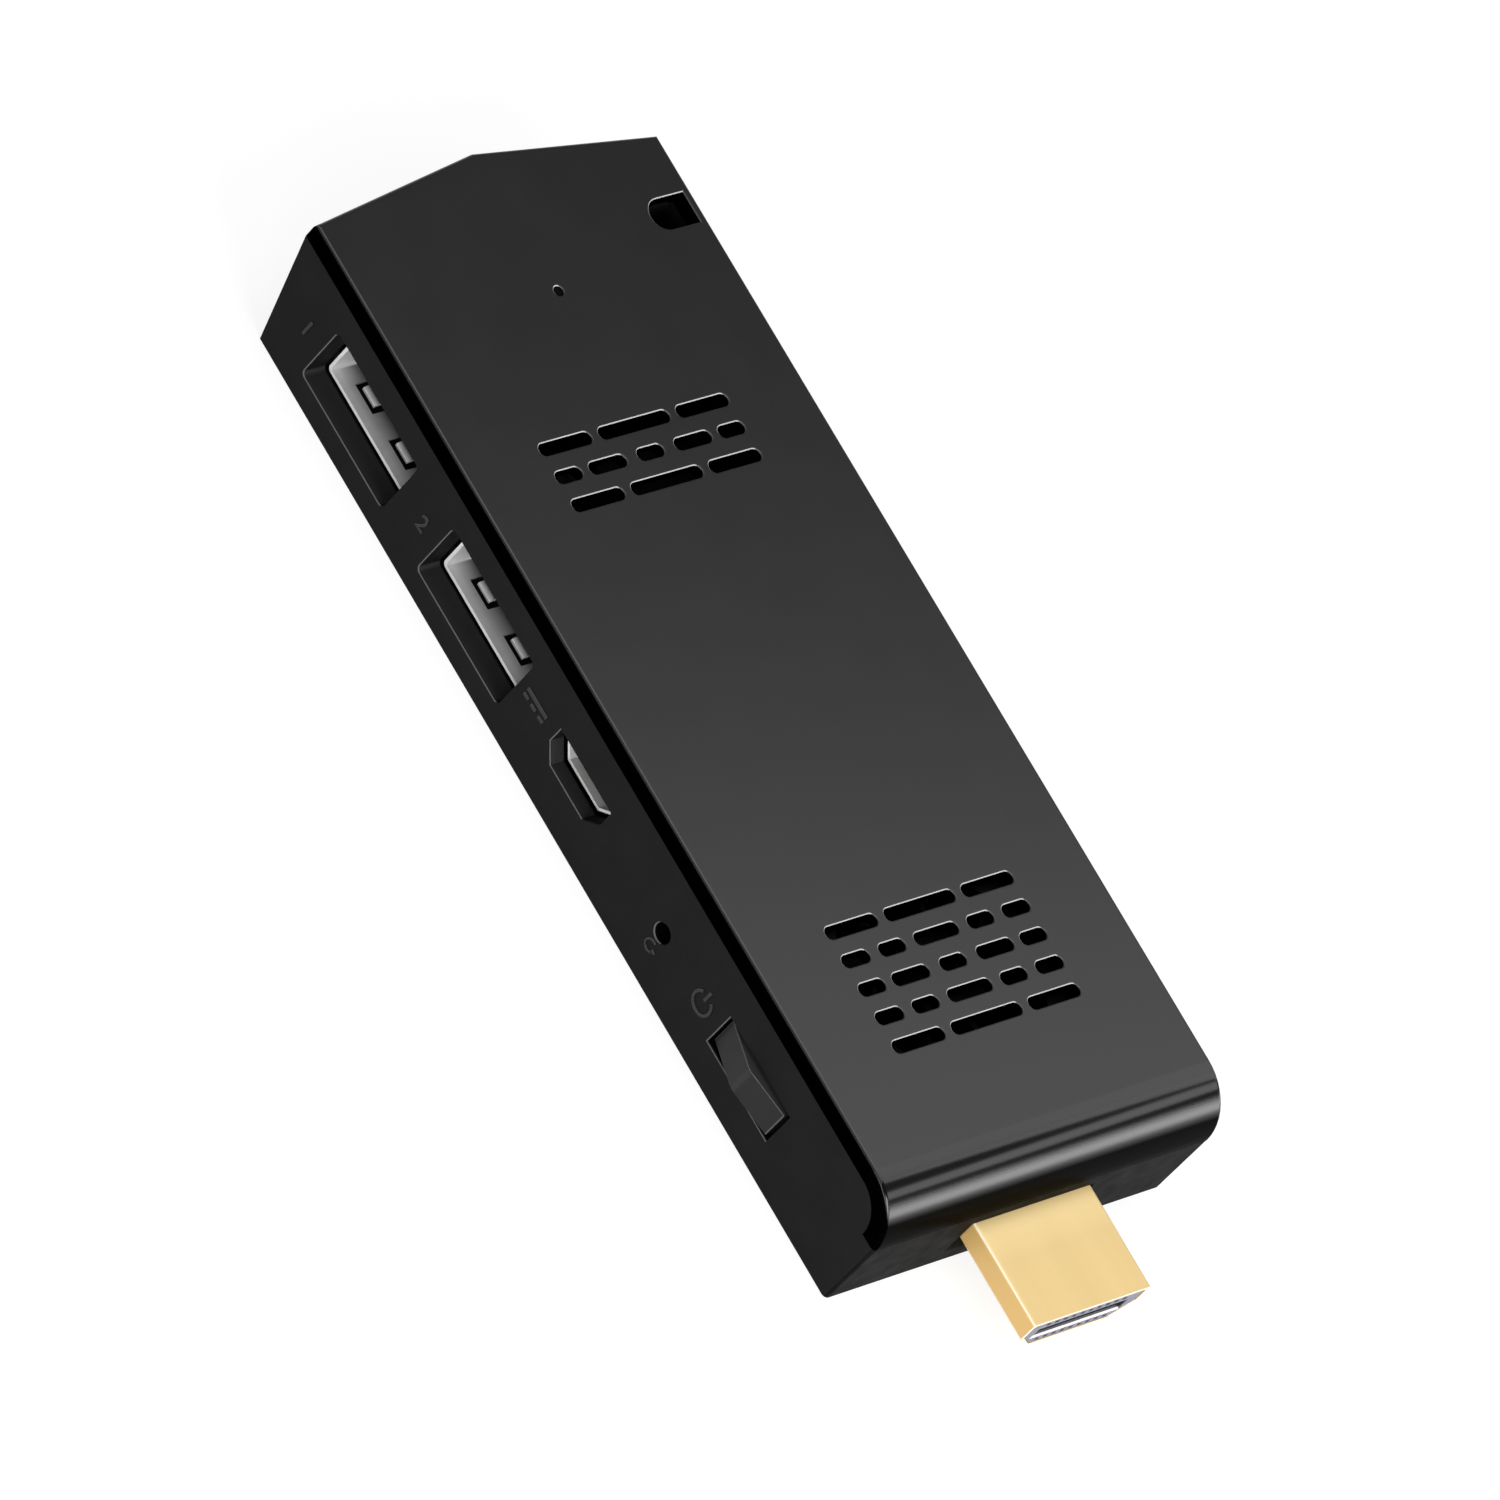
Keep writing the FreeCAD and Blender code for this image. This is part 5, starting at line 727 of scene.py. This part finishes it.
# Studio floor: a plain white sheet that fills the view. What sees it directly finds it mostly
# glowing, so it looks white but keeps the stick's shadow; other light falls on plain paint.
FLOOR_REACH = 4.0
FLOOR_GAP = 0.05 * MM
FLOOR_PAINT = (0.82, 0.82, 0.82, 1)
FLOOR_GLOW = 1.2
FLOOR_SHADED = 0.3
floor_shape = bmesh.new()
bmesh.ops.create_grid(floor_shape, x_segments=1, y_segments=1, size=FLOOR_REACH)
bmesh.ops.translate(floor_shape, verts=floor_shape.verts, vec=(0, 0, cad_box[0].z - FLOOR_GAP))
floor_mesh = mesh_of(floor_shape, "floor")
floor = bpy.data.objects.new("floor", floor_mesh)
bpy.context.scene.collection.objects.link(floor)
floor_white = bpy.data.materials.new("floor_white")
floor_white.use_nodes = True
tree = floor_white.node_tree
tree.nodes.clear()
paint = node(tree, "ShaderNodeBsdfDiffuse", {"Color": FLOOR_PAINT})
glow = node(tree, "ShaderNodeEmission", {"Color": (1, 1, 1, 1), "Strength": FLOOR_GLOW})
lit = node(tree, "ShaderNodeMixShader", {0: FLOOR_SHADED, 1: glow.outputs[0], 2: paint.outputs[0]})
ray = node(tree, "ShaderNodeLightPath").outputs
seen = maths("MAXIMUM", ray["Is Camera Ray"], ray["Is Glossy Ray"])
seen = maths("MAXIMUM", seen, ray["Is Transmission Ray"])
shown = node(tree, "ShaderNodeMixShader", {0: seen, 1: paint.outputs[0], 2: lit.outputs[0]})
node(tree, "ShaderNodeOutputMaterial", {"Surface": shown.outputs[0]})
floor_mesh.materials.append(floor_white)

# Studio light: a faint white room and large soft lamps. The ones behind show in the plate and in
# the bent nose, the one overhead lights what faces up, and the last two the long side and the plug.
ROOM_LIGHT = 0.1
studio = bpy.data.worlds.new("studio")
bpy.context.scene.world = studio
studio.use_nodes = True
feed(studio.node_tree.nodes["Background"], {"Color": (1, 1, 1, 1), "Strength": ROOM_LIGHT})


def softbox(name, way, distance, width, height, brightness, turn=0, lift=0):
    """A soft lamp that faces the stick, turned and lifted in its own plane."""
    lamp = bpy.data.lights.new(name, "AREA")
    lamp.shape = "RECTANGLE"
    lamp.size = width
    lamp.size_y = height
    lamp.energy = brightness * math.pi * width * height
    box = bpy.data.objects.new(name, lamp)
    towards = Vector(way).normalized()
    box.matrix_world = (Matrix.Translation(towards * distance)
                        @ towards.to_track_quat("Z", "Y").to_matrix().to_4x4()
                        @ Matrix.Rotation(math.radians(turn), 4, "Z")
                        @ Matrix.Translation((0, lift, 0)))
    box.visible_camera = False
    bpy.context.scene.collection.objects.link(box)


PLATE_WAY = (-0.2566, 0.6704, 0.6962)
UPPER_NOSE_WAY = (0.4467, 0.6704, 0.5924)
LOWER_NOSE_WAY = (0.7073, 0.6704, 0.2244)
softbox("back_panel", PLATE_WAY, 0.25, width=0.3, height=0.13, brightness=1.24, turn=45, lift=0.085)
softbox("middle_strip", UPPER_NOSE_WAY, 0.8, width=0.5, height=0.1045, brightness=1.46)
softbox("low_strip", LOWER_NOSE_WAY, 0.8, width=0.6, height=0.123, brightness=5.1)
softbox("low_glow", LOWER_NOSE_WAY, 0.85, width=0.6, height=0.317, brightness=1.32)
softbox("overhead", (-0.257, 0.02, 0.966), 0.8, width=0.3, height=0.75, brightness=2.2)
softbox("front_fill", (0.35, -0.88, 0.33), 0.9, width=0.8, height=0.5, brightness=4.0)
softbox("plug_fill", (0.8, -0.15, 0.57), 0.8, width=0.5, height=0.5, brightness=4.5)

# Camera: a long lens at the photograph's angle, from above the corner between the long side and
# the plug, and rolled so that the stick lies slantwise.
CAMERA_BEARING = math.radians(20.94)
CAMERA_RISE = math.radians(44.12)
CAMERA_ROLL = math.radians(44.43)
CAMERA_DISTANCE = 1.3065
CAMERA_AIM = Vector((-0.386, 0.199, 4.687)) * MM
CAMERA_LENS = 375.5
CAMERA_SENSOR = 36
CAMERA_SIGHT = 20
away = Vector((math.sin(CAMERA_BEARING) * math.cos(CAMERA_RISE),
               -math.cos(CAMERA_BEARING) * math.cos(CAMERA_RISE), math.sin(CAMERA_RISE)))
camera = bpy.data.objects.new("camera", bpy.data.cameras.new("camera"))
camera.data.sensor_width = CAMERA_SENSOR
camera.data.lens = CAMERA_LENS
camera.data.clip_end = CAMERA_SIGHT
camera.matrix_world = (Matrix.Translation(CAMERA_AIM + away * CAMERA_DISTANCE)
                       @ away.to_track_quat("Z", "Y").to_matrix().to_4x4()
                       @ Matrix.Rotation(CAMERA_ROLL, 4, "Z"))
bpy.context.scene.collection.objects.link(camera)
bpy.context.scene.camera = camera
bpy.context.scene.view_settings.view_transform = "Standard"
